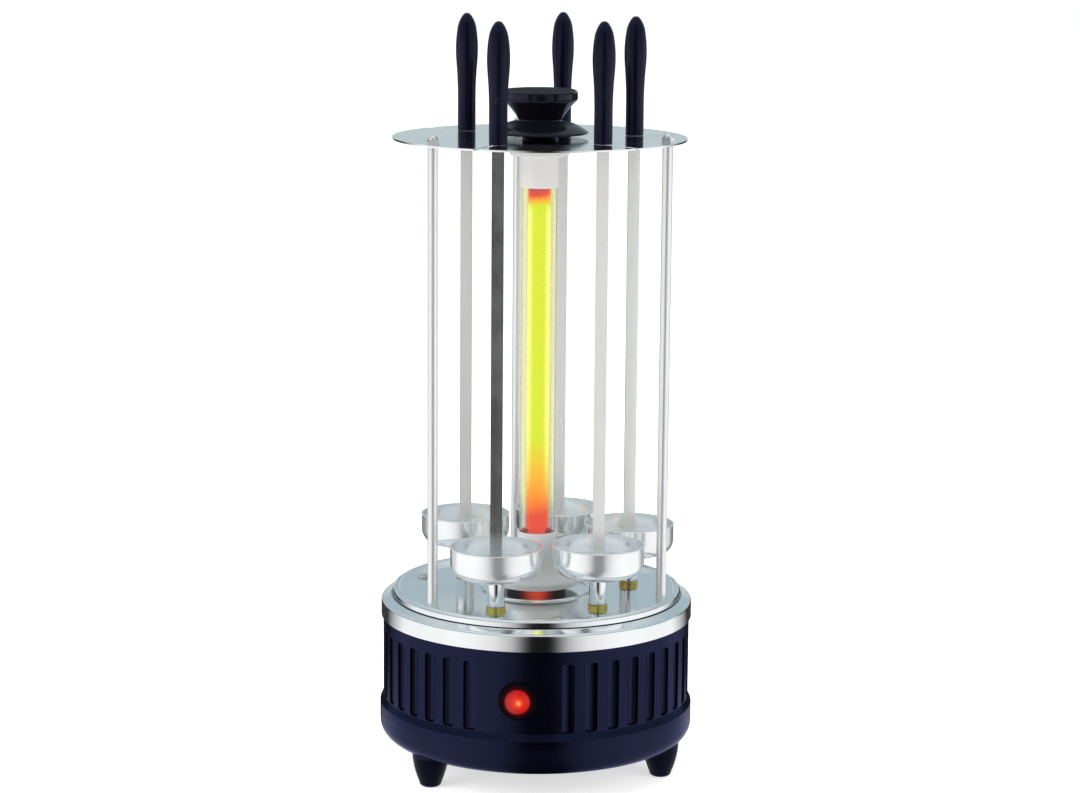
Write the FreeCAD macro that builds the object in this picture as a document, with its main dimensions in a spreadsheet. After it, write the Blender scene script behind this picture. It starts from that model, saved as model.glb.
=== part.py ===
import FreeCAD, Part
import math
import os
import re
import Sketcher

# Upright electric skewer grill: five geared skewers turn round a glowing quartz heater.
# Millimetres and degrees. The ground is z = 0, the heater stands on the Z axis, the button faces -Y,
# and a place round the axis is an azimuth: 0 at the button, growing towards +X.

doc = FreeCAD.newDocument("SkewerGrill")
sheet = doc.addObject("Spreadsheet::Sheet", "Dims")

# Driving sizes, one spreadsheet cell each.
sizes = {
    # base housing
    "footTall": 21, "footCrown": 12.2, "footTip": 7.6, "footToe": 2.6, "footInset": 13.6,
    "bodyOuter": 104.6, "bodyWall": 2.8, "bodyTop": 115.5,
    "skirtFlare": 2.2, "seamLevel": 40.4, "flareStart": 45.5, "flareTop": 50,
    "panWall": 2.6, "panCorner": 11, "spigotWall": 2.2, "spigotTall": 4.2, "seamGap": 0.2,
    "ventCount": 12, "ventCircle": 46, "ventLong": 22, "ventWide": 4,
    "pilotDeep": 13.2, "bossTall": 15.4, "postPilot": 25, "bezelSeat": 1, "glandBoss": 2,
    "fluteCount": 38, "plainPanel": 36.4, "fluteWide": 8.6, "fluteTall": 46.5, "fluteFoot": 50.5,
    "fluteDeep": 1.5, "fluteDraft": 20, "fluteCorner": 2,
    # chrome ring and drip plate
    "ringProud": 1.4, "ringSheet": 1.2, "bandTall": 10.8, "ledgeWide": 6.4, "ledgeRise": 4.1,
    "ledgeDrop": 2, "ringCorner": 1.8, "seatWide": 4.8,
    "plateLift": 2.4, "plateSheet": 1, "rimRise": 3.2, "rimGap": 1.4, "rimWide": 5,
    "beadCircle": 36, "beadHalf": 2, "beadRise": 1.1,
    # rods and top plate
    "rodRadius": 3.45, "rodInset": 8.7, "rodLong": 308.3, "rodFirst": -44, "studRadius": 2,
    "topSheet": 1.2, "topMargin": 8.8, "keyGap": 1, "keySlot": 3.4, "boltGap": 0.2,
    "capNutFlats": 7, "capNutTall": 6, "nutFlats": 7, "nutTall": 3.2, "headTall": 2.4,
    # gear train
    "gearModule": 2, "pressureAngle": 20, "sunTeeth": 45, "pinionTeeth": 20, "driveTeeth": 15,
    "backlash": 0.3, "faceWide": 8, "faceExtra": 0.5, "gearLift": 5,
    "spindleFirst": -18, "spindleStep": 63.6, "runningGap": 0.05, "thrustGap": 0.3,
    "hubShank": 14, "hubStep": 2, "hubLip": 3.5,
    "gearHubWall": 6, "gearHubProud": 0.2, "pinionHubProud": 1.5, "webHoles": 6,
    "deckSheet": 2, "deckGap": 4.8, "notchDeep": 8.4,
    "pillarTall": 37, "pillarRadius": 5, "postInset": 13, "postFirst": 16, "deckScrewReach": 14,
    # spindles, cups and skewers
    "shaftRadius": 4, "bushWall": 1.6, "bushLip": 0.9, "flangeTall": 3, "barrelTall": 4,
    "sleeveWall": 2, "cupLift": 22.6, "neckWall": 1, "neckTall": 9.4, "slotDeep": 8, "shaftReach": 1,
    "cupRoom": 6.7, "cupTall": 21, "cupCorner": 10, "cupSheet": 0.9, "cupBead": 0.4,
    "bladeWide": 8, "bladeThick": 1.8, "tangWide": 5, "tangPoint": 0.7, "tangStep": 1, "slotGap": 0.25,
    "bladeTurn": 6.4, "bladeStray": 12,
    "gripLong": 79.2, "gripCover": 1.05, "gripWaist": 6, "gripBelly": 7.5,
    "gripTang": 38, "gripGap": 0.15,
    # heater
    "tubeRadius": 11.9, "tubeWall": 1.4, "tubeFoot": 150, "tubeGap": 0.1, "tubeShort": 4,
    "coreRadius": 6, "coreShort": 1, "coilWire": 1.7, "coilShort": 6,
    "capFlange": 8, "capTall": 11, "collarTall": 21.3, "collarWall": 1.3,
    "bellRadius": 29, "bellLift": 5, "bellRim": 4.6, "bellTall": 36, "bellWall": 1.2, "plugTall": 8,
    "baseRadius": 20, "leadBore": 4, "leadBoss": 9, "leadTall": 9,
    # knob
    "saucerRadius": 32.5, "saucerLift": 2.4, "saucerEdge": 1.6, "knobFoot": 11.5,
    "waistRadius": 14.4, "waistLevel": 11.4, "lipRadius": 25.2, "lipLevel": 25, "knobTall": 31.6,
    "knobThread": 14, "knobScrew": 2.5, "knobHead": 3,
    # motor, switch and cord inlet
    "motorRadius": 25, "motorTall": 22, "motorBoss": 7.5, "bossProud": 0.4, "driveShaft": 3,
    "earReach": 31, "earHalf": 4, "earHole": 1.5, "earSheet": 1.2, "earHead": 1.6, "earScrewProud": 1.5,
    "switchLevel": 72.5, "bezelWide": 1.95, "bezelTall": 3,
    "switchWall": 1.5, "switchDeep": 28, "switchStep": 2,
    "neckDeep": 14, "chamberDeep": 12, "pocketRadius": 4, "pocketFloor": 3,
    "tabFirst": 4.6, "tabThick": 0.8, "tabHalf": 2.4, "tabLong": 7,
    "buttonRadius": 8.1, "buttonLip": 0.6, "buttonGap": 0.3, "buttonProud": 3, "buttonCrown": 2,
    "buttonStop": 1.3, "skirtFoot": 7, "stemRadius": 2,
    "springWire": 0.35, "springRadius": 3.2, "springTurns": 5,
    "glandLevel": 62, "glandFlange": 9, "glandNeck": 5.4, "glandBore": 3.5, "glandTall": 4,
    "glandHook": 1.2, "hookGap": 0.4, "hookTall": 2.6, "glandEdge": 1.4, "boreEdge": 0.8,
}

# Sizes that follow from the driving ones.
derived = {
    "panOuter": "bodyOuter + skirtFlare",
    "bodyInner": "bodyOuter - bodyWall",
    "skirtInner": "panOuter - panWall",
    "spigotOuter": "skirtInner - seamGap",
    "spigotInner": "spigotOuter - spigotWall",
    "panFloor": "footTall + panWall",
    "footCircle": "bodyOuter - footInset",
    "footSeat": "footTall * 0.55",
    "footHead": "studRadius * 1.8",
    "screwHole": "studRadius + boltGap",
    "ringOuter": "bodyOuter + ringProud",
    "ringInner": "ringOuter - ringSheet",
    "ledgeInner": "ringOuter - ledgeWide",
    "ledgeLevel": "bodyTop + ledgeRise",
    "bandFoot": "bodyTop + ringSheet - bandTall",
    "plateLevel": "ledgeLevel + plateLift",
    "plateUnder": "plateLevel - plateSheet",
    "rimOuter": "ledgeInner - rimGap",
    "rodCircle": "rimOuter - rodInset",
    "topUnder": "plateLevel + rodLong",
    "topLevel": "topUnder + topSheet",
    "topRadius": "rodCircle + topMargin",
    "deckLevel": "plateUnder - pillarTall",
    "deckUnder": "deckLevel - deckSheet",
    "deckRadius": "bodyInner - deckGap",
    "postCircle": "deckRadius - postInset",
    "hubSeat": "hubShank - hubStep",
    "spindleCircle": "gearModule * (sunTeeth + pinionTeeth) / 2",
    "driveCircle": "gearModule * (sunTeeth + driveTeeth) / 2",
    "driveAngle": "spindleFirst - (360 - 4 * spindleStep) / 2",
    "gearLevel": "deckLevel + gearLift",
    "gearTop": "gearLevel + faceWide",
    "hubLipLevel": "gearTop + gearHubProud + thrustGap",
    "sleeveFoot": "plateLevel + flangeTall + thrustGap",
    "cupRadius": "spindleCircle * sin(spindleStep * 0.5deg) - cupBead - cupRoom / 2",
    "cupSeat": "plateLevel + cupLift",
    "neckTop": "cupSeat + neckTall",
    "slotFloor": "neckTop - slotDeep",
    "capRoof": "topUnder - capTall",
    "collarFoot": "capRoof - collarTall",
    "tubeTop": "capRoof - tubeShort",
    "coreFoot": "tubeFoot + plugTall",
    "plugRadius": "tubeRadius - tubeWall - tubeGap",
    "bellFoot": "plateLevel + bellLift",
    "bellTop": "bellFoot + bellTall",
    "bellBore": "tubeRadius + tubeGap",
    "bellStem": "bellBore + bellWall",
    "capRadius": "tubeRadius + capFlange",
    "bushOuter": "shaftRadius + bushWall",
    "bushFlange": "bushOuter + bushLip",
    "sleeveRadius": "shaftRadius + sleeveWall",
    "neckRadius": "shaftRadius + neckWall",
    "keyRadius": "bladeWide / 2 + keyGap",
    "gripFoot": "keyRadius + gripCover",
    "mouthRadius": "buttonRadius + buttonGap",
    "chamberRadius": "mouthRadius + buttonLip + buttonGap",
    "switchNeck": "chamberRadius + switchWall",
    "casing": "switchNeck - switchStep",
    "bezelRadius": "switchNeck + bezelWide",
    "hookLevel": "bodyWall + bezelSeat + hookGap",
}


def bound(text):
    # an expression in this file's names, written out for the spreadsheet
    def swap(found):
        word = found.group()
        if word in sizes:
            return "Dims." + word
        if word in derived:
            return "(" + bound(derived[word]) + ")"
        return word
    return re.sub(r"[A-Za-z]\w*", swap, text)


def num(text):
    return float(sheet.evalExpression(bound(text)))


def fill_sheet():
    for row, (name, value) in enumerate(sizes.items(), start=1):
        sheet.set("A%d" % row, name)
        sheet.set("B%d" % row, str(value))
        sheet.setAlias("B%d" % row, name)
    doc.recompute()


def dome(half, rise):
    return "((%s) ^ 2 + (%s) ^ 2) / (2 * (%s))" % (half, rise, rise)


def across(radius, azimuth):
    return "(%s) * sin((%s) * 1deg)" % (radius, azimuth)


def along(radius, azimuth):
    return "-(%s) * cos((%s) * 1deg)" % (radius, azimuth)


# Sketch helpers: every corner and radius is a constraint bound to the sheet.

def sketch_on(body, role, name, lift="0"):
    sketch = body.newObject("Sketcher::SketchObject", name)
    plane = next(part for part in body.Origin.OriginFeatures if part.Role == role)
    sketch.AttachmentSupport = [(plane, "")]
    sketch.MapMode = "FlatFace"
    if lift != "0":
        sketch.setExpression("AttachmentOffset.Base.z", bound(lift))
    sketch.Visibility = False
    return sketch


def pin_point(sketch, edge, spot, x, y):
    for kind, axis, text in (("DistanceX", -2, x), ("DistanceY", -1, y)):
        value = num(text)
        if abs(value) < 1e-9:
            sketch.addConstraint(Sketcher.Constraint("PointOnObject", edge, spot, axis))
        else:
            index = sketch.addConstraint(Sketcher.Constraint(kind, -1, 1, edge, spot, value))
            sketch.setExpression("Constraints[%d]" % index, bound(text))


def hold_radius(sketch, edge, text):
    index = sketch.addConstraint(Sketcher.Constraint("Radius", edge, num(text)))
    sketch.setExpression("Constraints[%d]" % index, bound(text))


def bend(start, end, radius):
    # the shorter arc from start to end; it turns left where radius is positive
    chord = end - start
    middle = (start + end) * 0.5
    reach = math.sqrt(max(radius ** 2 - (chord.Length / 2) ** 2, 0))
    left = FreeCAD.Vector(-chord.y, chord.x, 0) * (1 / chord.Length)
    centre = middle + left * (reach if radius > 0 else -reach)
    first, last = (start, end) if radius > 0 else (end, start)
    angles = [math.atan2(spot.y - centre.y, spot.x - centre.x) for spot in (first, last)]
    ring = Part.Circle(centre, FreeCAD.Vector(0, 0, 1), abs(radius))
    return Part.ArcOfCircle(ring, angles[0], angles[1])


def outline(sketch, corners):
    # corners run counter-clockwise; a third value bends the edge that ends at that corner
    spots = [FreeCAD.Vector(num(corner[0]), num(corner[1]), 0) for corner in corners]
    edges = []
    for index, start in enumerate(spots):
        follow = (index + 1) % len(spots)
        if len(corners[follow]) > 2:
            radius = num(corners[follow][2])
            edge = sketch.addGeometry(bend(start, spots[follow], radius), False)
            ends = (1, 2) if radius > 0 else (2, 1)
        else:
            edge = sketch.addGeometry(Part.LineSegment(start, spots[follow]), False)
            ends = (1, 2)
        edges.append((edge, ends))
    for index, (edge, ends) in enumerate(edges):
        follow = (index + 1) % len(edges)
        sketch.addConstraint(Sketcher.Constraint("Coincident", edge, ends[1],
                                                 edges[follow][0], edges[follow][1][0]))
    for index, (edge, ends) in enumerate(edges):
        pin_point(sketch, edge, ends[0], corners[index][0], corners[index][1])
        bent = corners[(index + 1) % len(edges)]
        if len(bent) > 2:
            hold_radius(sketch, edge, "abs(%s)" % bent[2])


def circle(sketch, x, y, radius):
    centre = FreeCAD.Vector(num(x), num(y), 0)
    edge = sketch.addGeometry(Part.Circle(centre, FreeCAD.Vector(0, 0, 1), num(radius)), False)
    pin_point(sketch, edge, 3, x, y)
    hold_radius(sketch, edge, radius)


def ring_of_circles(sketch, circle_radius, first, step, count, radius):
    for index in range(count):
        azimuth = "%s + %d * (%s)" % (first, index, step)
        circle(sketch, across(circle_radius, azimuth), along(circle_radius, azimuth), radius)


def box_outline(sketch, left, bottom, right, top):
    outline(sketch, [(left, bottom), (right, bottom), (right, top), (left, top)])


# Feature helpers.

pieces = {}


def new_body(label):
    body = doc.addObject("PartDesign::Body", label)
    body.Label = label
    return body


def turned(label, corners):
    body = new_body(label)
    sketch = sketch_on(body, "XZ_Plane", label + "_section")
    outline(sketch, corners)
    turn = body.newObject("PartDesign::Revolution", label + "_turning")
    turn.Profile = sketch
    turn.ReferenceAxis = (sketch, ["V_Axis"])
    turn.Angle = 360
    doc.recompute()
    return body


def pad(body, sketch, length, reverse=False):
    feature = body.newObject("PartDesign::Pad", sketch.Name + "_pad")
    feature.Profile = sketch
    feature.setExpression("Length", bound(length))
    feature.Reversed = reverse
    doc.recompute()
    return feature


def cut(body, sketch, length=None, reverse=False, draft=None):
    before = body.Shape.Volume
    feature = body.newObject("PartDesign::Pocket", sketch.Name + "_cut")
    feature.Profile = sketch
    feature.Reversed = reverse
    if length is None:
        feature.Type = "ThroughAll"
        feature.SideType = "Symmetric"
    else:
        feature.setExpression("Length", bound(length))
    if draft is not None:
        feature.setExpression("TaperAngle", bound(draft))
    doc.recompute()
    if body.Shape.Volume > before - 1e-3:
        raise RuntimeError(sketch.Name + " cuts nothing")
    return feature


def polar(body, feature, angle, count):
    pattern = body.newObject("PartDesign::PolarPattern", feature.Name + "_round")
    pattern.Originals = [feature]
    axis = next(part for part in body.Origin.OriginFeatures if part.Role == "Z_Axis")
    pattern.Axis = (axis, [""])
    pattern.setExpression("Angle", bound(angle))
    pattern.setExpression("Occurrences", bound(count))
    body.Tip = pattern
    doc.recompute()
    return pattern


def turned_place(axis, angle):
    return FreeCAD.Placement(FreeCAD.Vector(0, 0, 0), FreeCAD.Rotation(axis, angle))


def put(body, x="0", y="0", z="0", turn="0"):
    body.Placement = turned_place(FreeCAD.Vector(0, 0, 1), num(turn))
    for name, text in (("x", x), ("y", y), ("z", z)):
        if text != "0":
            body.setExpression("Placement.Base." + name, bound(text))


def put_round(body, radius, azimuth, z="0", turn="0"):
    put(body, across(radius, azimuth), along(radius, azimuth), z, turn)


def set_group(label, bodies):
    group = doc.addObject("Part::Compound", label)
    group.Label = label
    group.Links = bodies
    pieces[label] = group


def solid_piece(label, shape, placement=None):
    feature = doc.addObject("Part::Feature", label)
    feature.Label = label
    feature.Shape = shape
    if placement is not None:
        feature.Placement = placement
    pieces[label] = feature


# Base housing.

def base_pan():
    pan = turned("base_pan", [
        ("0", "footTall"), ("panOuter - panCorner", "footTall"),
        ("panOuter", "footTall + panCorner", "panCorner"), ("panOuter", "seamLevel"),
        ("spigotOuter", "seamLevel"), ("spigotOuter", "seamLevel + spigotTall"),
        ("spigotInner", "seamLevel + spigotTall"), ("spigotInner", "seamLevel - spigotTall"),
        ("skirtInner", "seamLevel - spigotTall - spigotWall"), ("skirtInner", "footTall + panCorner"),
        ("panOuter - panCorner", "panFloor", "panWall - panCorner"), ("0", "panFloor")])
    pads = sketch_on(pan, "XY_Plane", "foot_pads", "footTall")
    ring_of_circles(pads, "footCircle", "rodFirst", "120", 3, "footCrown")
    pad(pan, pads, "panCorner / 2")
    posts = sketch_on(pan, "XY_Plane", "deck_posts", "footTall")
    ring_of_circles(posts, "postCircle", "postFirst", "120", 3, "pillarRadius + boltGap")
    pad(pan, posts, "deckUnder - footTall")
    bosses = sketch_on(pan, "XY_Plane", "foot_bosses", "footTall")
    ring_of_circles(bosses, "footCircle", "rodFirst", "120", 3, "pillarRadius")
    pad(pan, bosses, "bossTall")
    pilots = sketch_on(pan, "XY_Plane", "foot_pilots", "footTall")
    ring_of_circles(pilots, "footCircle", "rodFirst", "120", 3, "studRadius")
    cut(pan, pilots, "pilotDeep", True)
    threads = sketch_on(pan, "XY_Plane", "post_pilots", "deckUnder")
    ring_of_circles(threads, "postCircle", "postFirst", "120", 3, "studRadius")
    cut(pan, threads, "deckUnder - panFloor - postPilot")
    vent = sketch_on(pan, "XY_Plane", "floor_vent")
    near, far = "ventCircle - ventLong / 2", "ventCircle + ventLong / 2"
    box_outline(vent, "-ventWide / 2", near, "ventWide / 2", far)
    polar(pan, cut(pan, vent, "panFloor + 1", True), "360", "ventCount")
    pieces["base_pan"] = pan


def body_shell():
    shell = turned("body_shell", [
        ("skirtInner", "seamLevel"), ("panOuter", "seamLevel"), ("panOuter", "flareStart"),
        ("bodyOuter", "flareTop"), ("bodyOuter", "bodyTop"), ("bodyInner", "bodyTop"),
        ("bodyInner", "flareTop + bodyWall / 2"), ("skirtInner", "flareStart + bodyWall / 2")])
    flute = sketch_on(shell, "XZ_Plane", "flute")
    flute.AttachmentOffset = turned_place(FreeCAD.Vector(0, 1, 0), num("plainPanel / 2"))
    flute.setExpression("AttachmentOffset.Base.x", bound("bodyOuter * sin(plainPanel * 0.5deg)"))
    flute.setExpression("AttachmentOffset.Base.z", bound("bodyOuter * cos(plainPanel * 0.5deg)"))
    side, low, high = "fluteWide / 2", "fluteFoot", "fluteFoot + fluteTall"
    turn_in = "fluteWide / 2 - fluteCorner"
    outline(flute, [
        ("-(%s)" % turn_in, low, "fluteCorner"), (turn_in, low),
        (side, low + " + fluteCorner", "fluteCorner"),
        (side, high + " - fluteCorner"), (turn_in, high, "fluteCorner"),
        ("-(%s)" % turn_in, high), ("-(%s)" % side, high + " - fluteCorner", "fluteCorner"),
        ("-(%s)" % side, low + " + fluteCorner")])
    polar(shell, cut(shell, flute, "fluteDeep", False, "-fluteDraft"), "360 - plainPanel", "fluteCount")
    recess = sketch_on(shell, "XZ_Plane", "bezel_recess", "bodyOuter + bezelSeat")
    circle(recess, "0", "switchLevel", "bezelRadius + boltGap")
    cut(shell, recess, "bezelSeat * 2")
    window = sketch_on(shell, "XZ_Plane", "switch_window", "bodyOuter + bezelSeat")
    circle(window, "0", "switchLevel", "switchNeck + boltGap")
    cut(shell, window, "bodyWall * 3")
    boss = sketch_on(shell, "XZ_Plane", "gland_boss", "-(bodyOuter + bezelSeat)")
    circle(boss, "0", "glandLevel", "glandFlange + glandBoss")
    pad(shell, boss, "bodyWall + bezelSeat")
    hole = sketch_on(shell, "XZ_Plane", "gland_hole", "-(bodyOuter + bezelSeat)")
    circle(hole, "0", "glandLevel", "glandNeck + boltGap")
    cut(shell, hole, "bodyWall * 3", True)
    pieces["body_shell"] = shell


def trim_ring():
    low = "ledgeLevel - ledgeDrop"
    pieces["trim_ring"] = turned("trim_ring", [
        ("ringInner", "bandFoot"), ("ringOuter", "bandFoot"), ("ringOuter", low + " - ringCorner"),
        ("ringOuter - ringCorner", low, "ringCorner"), ("ledgeInner", "ledgeLevel"),
        ("ledgeInner - seatWide", "ledgeLevel"), ("ledgeInner - seatWide", "ledgeLevel - ringSheet"),
        ("ledgeInner - boltGap", "ledgeLevel - ringSheet"),
        ("ringInner - ringCorner / 2", low + " - ringSheet"),
        ("ringInner", low + " - ringSheet - ringCorner / 2", "-ringCorner * 0.6")])


def drip_plate():
    crest = "plateLevel + rimRise"
    flat_end = "rimOuter - rimWide"
    middle = "rimOuter - rimWide * 0.46"
    plate = turned("drip_plate", [
        ("leadBoss + boltGap", "plateUnder"), ("beadCircle - beadHalf * 0.6", "plateUnder"),
        ("beadCircle + beadHalf * 0.6", "plateUnder", "-beadHalf * 0.9"),
        (flat_end, "plateUnder"),
        (middle, crest + " - plateSheet", "rimWide * 1.1"),
        ("rimOuter - plateSheet", crest + " - plateSheet * 2.2", "-rimWide * 0.5"),
        ("rimOuter - plateSheet", "ledgeLevel"), ("rimOuter", "ledgeLevel"),
        ("rimOuter", crest + " - plateSheet * 2"),
        (middle, crest, "rimWide * 0.6"),
        (flat_end + " - plateSheet * 0.2", "plateLevel", "-rimWide * 1.1"),
        ("beadCircle + beadHalf", "plateLevel"),
        ("beadCircle - beadHalf", "plateLevel", "(beadHalf ^ 2 + beadRise ^ 2) / (2 * beadRise)"),
        ("leadBoss + boltGap", "plateLevel")])
    for name, where, first, step, count, radius in (
            ("bush_holes", "spindleCircle", "spindleFirst", "spindleStep", 5, "bushOuter"),
            ("rod_holes", "rodCircle", "rodFirst", "120", 3, "screwHole"),
            ("screw_holes", "postCircle", "postFirst", "120", 3, "screwHole")):
        holes = sketch_on(plate, "XY_Plane", name)
        ring_of_circles(holes, where, first, step, count, radius)
        cut(plate, holes, "plateLevel + rimRise", True)
    pieces["drip_plate"] = plate


def feet():
    for index in range(3):
        label = "foot_%d" % (index + 1)
        foot = turned(label, [
            ("footHead + boltGap", "0"), ("footTip - footToe", "0"),
            ("footTip", "footToe * 1.2", "footToe * 1.3"), ("footCrown", "footTall", "footTall * 3"),
            ("screwHole", "footTall"), ("screwHole", "footSeat"), ("footHead + boltGap", "footSeat")])
        put_round(foot, "footCircle", "rodFirst + %d" % (120 * index))
        pieces[label] = foot


# Inside the base: gear deck, its pillars and screws.

def ear_place(side):
    # centre of a motor screw; the two stand either side of the motor's axis
    return ("%s + %searReach * cos(driveAngle * 1deg)" % (across("driveCircle", "driveAngle"), side),
            "%s + %searReach * sin(driveAngle * 1deg)" % (along("driveCircle", "driveAngle"), side))


def gear_deck():
    deck = turned("gear_plate", [
        ("hubSeat", "deckUnder"), ("deckRadius", "deckUnder"),
        ("deckRadius", "deckLevel"), ("hubSeat", "deckLevel")])
    holes = sketch_on(deck, "XY_Plane", "deck_bush_holes")
    ring_of_circles(holes, "spindleCircle", "spindleFirst", "spindleStep", 5, "bushOuter")
    ring_of_circles(holes, "postCircle", "postFirst", "120", 3, "screwHole")
    drive_x, drive_y = across("driveCircle", "driveAngle"), along("driveCircle", "driveAngle")
    circle(holes, drive_x, drive_y, "motorBoss + boltGap")
    for side in ("", "-"):
        circle(holes, *ear_place(side), "earHole")
    cut(deck, holes, "deckLevel + 1", True)
    notch = sketch_on(deck, "XY_Plane", "switch_notch")
    box_outline(notch, "-bezelRadius", "-deckRadius - 1", "bezelRadius", "notchDeep - deckRadius")
    cut(deck, notch, "deckLevel + 1", True)
    pieces["gear_plate"] = deck


def deck_fasteners():
    pillars = []
    screws = []
    for index in range(3):
        azimuth = "postFirst + %d" % (120 * index)
        pillar = turned("deck_pillar_%d" % (index + 1), [
            ("screwHole", "deckLevel"), ("pillarRadius", "deckLevel"),
            ("pillarRadius", "plateUnder"), ("screwHole", "plateUnder")])
        screw = turned("deck_screw_%d" % (index + 1), [
            ("0", "deckUnder - deckScrewReach"), ("studRadius", "deckUnder - deckScrewReach"),
            ("studRadius", "plateLevel"), ("studRadius * 2", "plateLevel"),
            ("studRadius * 2", "plateLevel + headTall - 1.4"),
            ("0", "plateLevel + headTall", dome("studRadius * 2", "1.4"))])
        put_round(pillar, "postCircle", azimuth)
        put_round(screw, "postCircle", azimuth)
        pillars.append(pillar)
        screws.append(screw)
    set_group("deck_pillars", pillars)
    set_group("deck_screws", screws)


def foot_screws():
    screws = []
    for index in range(3):
        end = "footTall + panCorner"
        screw = turned("foot_screw_%d" % (index + 1), [
            ("0", "footSeat - headTall"), ("footHead", "footSeat - headTall * 0.83"),
            ("footHead", "footSeat"), ("studRadius", "footSeat"), ("studRadius", end), ("0", end)])
        put_round(screw, "footCircle", "rodFirst + %d" % (120 * index))
        screws.append(screw)
    set_group("foot_screws", screws)


# Rods, their nuts and the top plate.

def rods():
    cap_nuts = []
    under_nuts = []
    for index in range(3):
        azimuth = "rodFirst + %d" % (120 * index)
        label = "rod_%d" % (index + 1)
        rod = turned(label, [
            ("0", "plateUnder - nutTall * 2"), ("studRadius", "plateUnder - nutTall * 2"),
            ("studRadius", "plateLevel"), ("rodRadius", "plateLevel"), ("rodRadius", "topUnder"),
            ("studRadius", "topUnder"), ("studRadius", "topLevel + capNutTall * 0.6"),
            ("0", "topLevel + capNutTall * 0.6")])
        put_round(rod, "rodCircle", azimuth)
        pieces[label] = rod
        cap_nuts.append(cap_nut("rod_cap_nut_%d" % (index + 1), azimuth))
        under_nuts.append(plain_nut("rod_lower_nut_%d" % (index + 1), azimuth))
    set_group("rod_cap_nuts", cap_nuts)
    set_group("rod_lower_nuts", under_nuts)


def hexagon(sketch, flats):
    corner = "(%s) / sqrt(3)" % flats
    outline(sketch, [("%s * %s" % (corner, x), "%s * %s" % (corner, y)) for x, y in (
        ("1", "0"), ("0.5", "sqrt(0.75)"), ("-0.5", "sqrt(0.75)"),
        ("-1", "0"), ("-0.5", "-sqrt(0.75)"), ("0.5", "-sqrt(0.75)"))])


def cap_nut(label, azimuth):
    crown = "capNutFlats * 0.45"
    shoulder = "topLevel + capNutTall * 0.6"
    nut = turned(label, [
        ("studRadius", "topLevel"), (crown, "topLevel"), (crown, shoulder),
        ("0", "topLevel + capNutTall", dome(crown, "capNutTall * 0.4")),
        ("0", shoulder), ("studRadius", shoulder)])
    hexes = sketch_on(nut, "XY_Plane", label + "_flats", "topLevel")
    hexagon(hexes, "capNutFlats")
    circle(hexes, "0", "0", "studRadius")
    pad(nut, hexes, "capNutTall * 0.5")
    put_round(nut, "rodCircle", azimuth)
    return nut


def plain_nut(label, azimuth):
    nut = new_body(label)
    hexes = sketch_on(nut, "XY_Plane", label + "_flats", "plateUnder - nutTall")
    hexagon(hexes, "nutFlats")
    circle(hexes, "0", "0", "studRadius")
    pad(nut, hexes, "nutTall")
    put_round(nut, "rodCircle", azimuth)
    return nut


def top_plate():
    plate = turned("top_plate", [
        ("knobScrew + boltGap", "topUnder"), ("topRadius", "topUnder"),
        ("topRadius", "topLevel"), ("knobScrew + boltGap", "topLevel")])
    holes = sketch_on(plate, "XY_Plane", "top_holes")
    ring_of_circles(holes, "rodCircle", "rodFirst", "120", 3, "screwHole")
    cut(plate, holes, "topLevel + 1", True)
    # each keyhole lets a blade in edgewise from the rim and keeps it in the round end
    key = sketch_on(plate, "XY_Plane", "keyhole")
    key.AttachmentOffset = turned_place(FreeCAD.Vector(0, 0, 1), num("spindleFirst"))
    meet = "sqrt(keyRadius ^ 2 - keySlot ^ 2 / 4)"
    outline(key, [
        ("-keySlot / 2", "-(spindleCircle + %s)" % meet, "keyRadius"), ("-keySlot / 2", "-(topRadius + 1)"),
        ("keySlot / 2", "-(topRadius + 1)"), ("keySlot / 2", "-(spindleCircle + %s)" % meet),
        ("keyRadius", "-spindleCircle", "keyRadius"), ("0", "keyRadius - spindleCircle", "keyRadius"),
        ("-keyRadius", "-spindleCircle", "keyRadius")])
    polar(plate, cut(plate, key, "topLevel + 1", True), "4 * spindleStep", "5")
    pieces["top_plate"] = plate


# Knob and its screw.

def knob():
    level = "topLevel"
    under = level + " + saucerLift"
    edge = under + " + saucerEdge"
    waist = level + " + waistLevel"
    lip = level + " + lipLevel"
    crown = level + " + knobTall"
    pieces["carry_knob"] = turned("carry_knob", [
        ("knobScrew", level), ("knobFoot", level), ("knobFoot + 0.6", under),
        ("saucerRadius - saucerEdge / 2", under),
        ("saucerRadius", under + " + saucerEdge / 2", "saucerEdge / 2"),
        ("saucerRadius - saucerEdge / 2", edge, "saucerEdge * 0.75"),
        ("waistRadius + 1", waist + " - 0.6", "saucerRadius * 1.1"), ("waistRadius", waist + " + 0.4", "-1"),
        ("lipRadius - 1.6", lip + " - 1.6", "-lipRadius * 2.4"), ("lipRadius", lip + " + 1", "3.6"),
        ("lipRadius", crown + " - 2.2"), ("lipRadius - 2.4", crown + " - 0.3", "2.4"), ("0", crown),
        ("0", level + " + knobThread"), ("knobScrew", level + " + knobThread")])
    head = "capRoof - tubeGap - knobHead"
    tip = level + " + knobThread - 2"
    pieces["knob_screw"] = turned("knob_screw", [
        ("0", head), ("knobScrew * 1.6", head), ("knobScrew * 1.6", "capRoof"),
        ("knobScrew", "capRoof"), ("knobScrew", tip), ("0", tip)])


# Heater.

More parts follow.
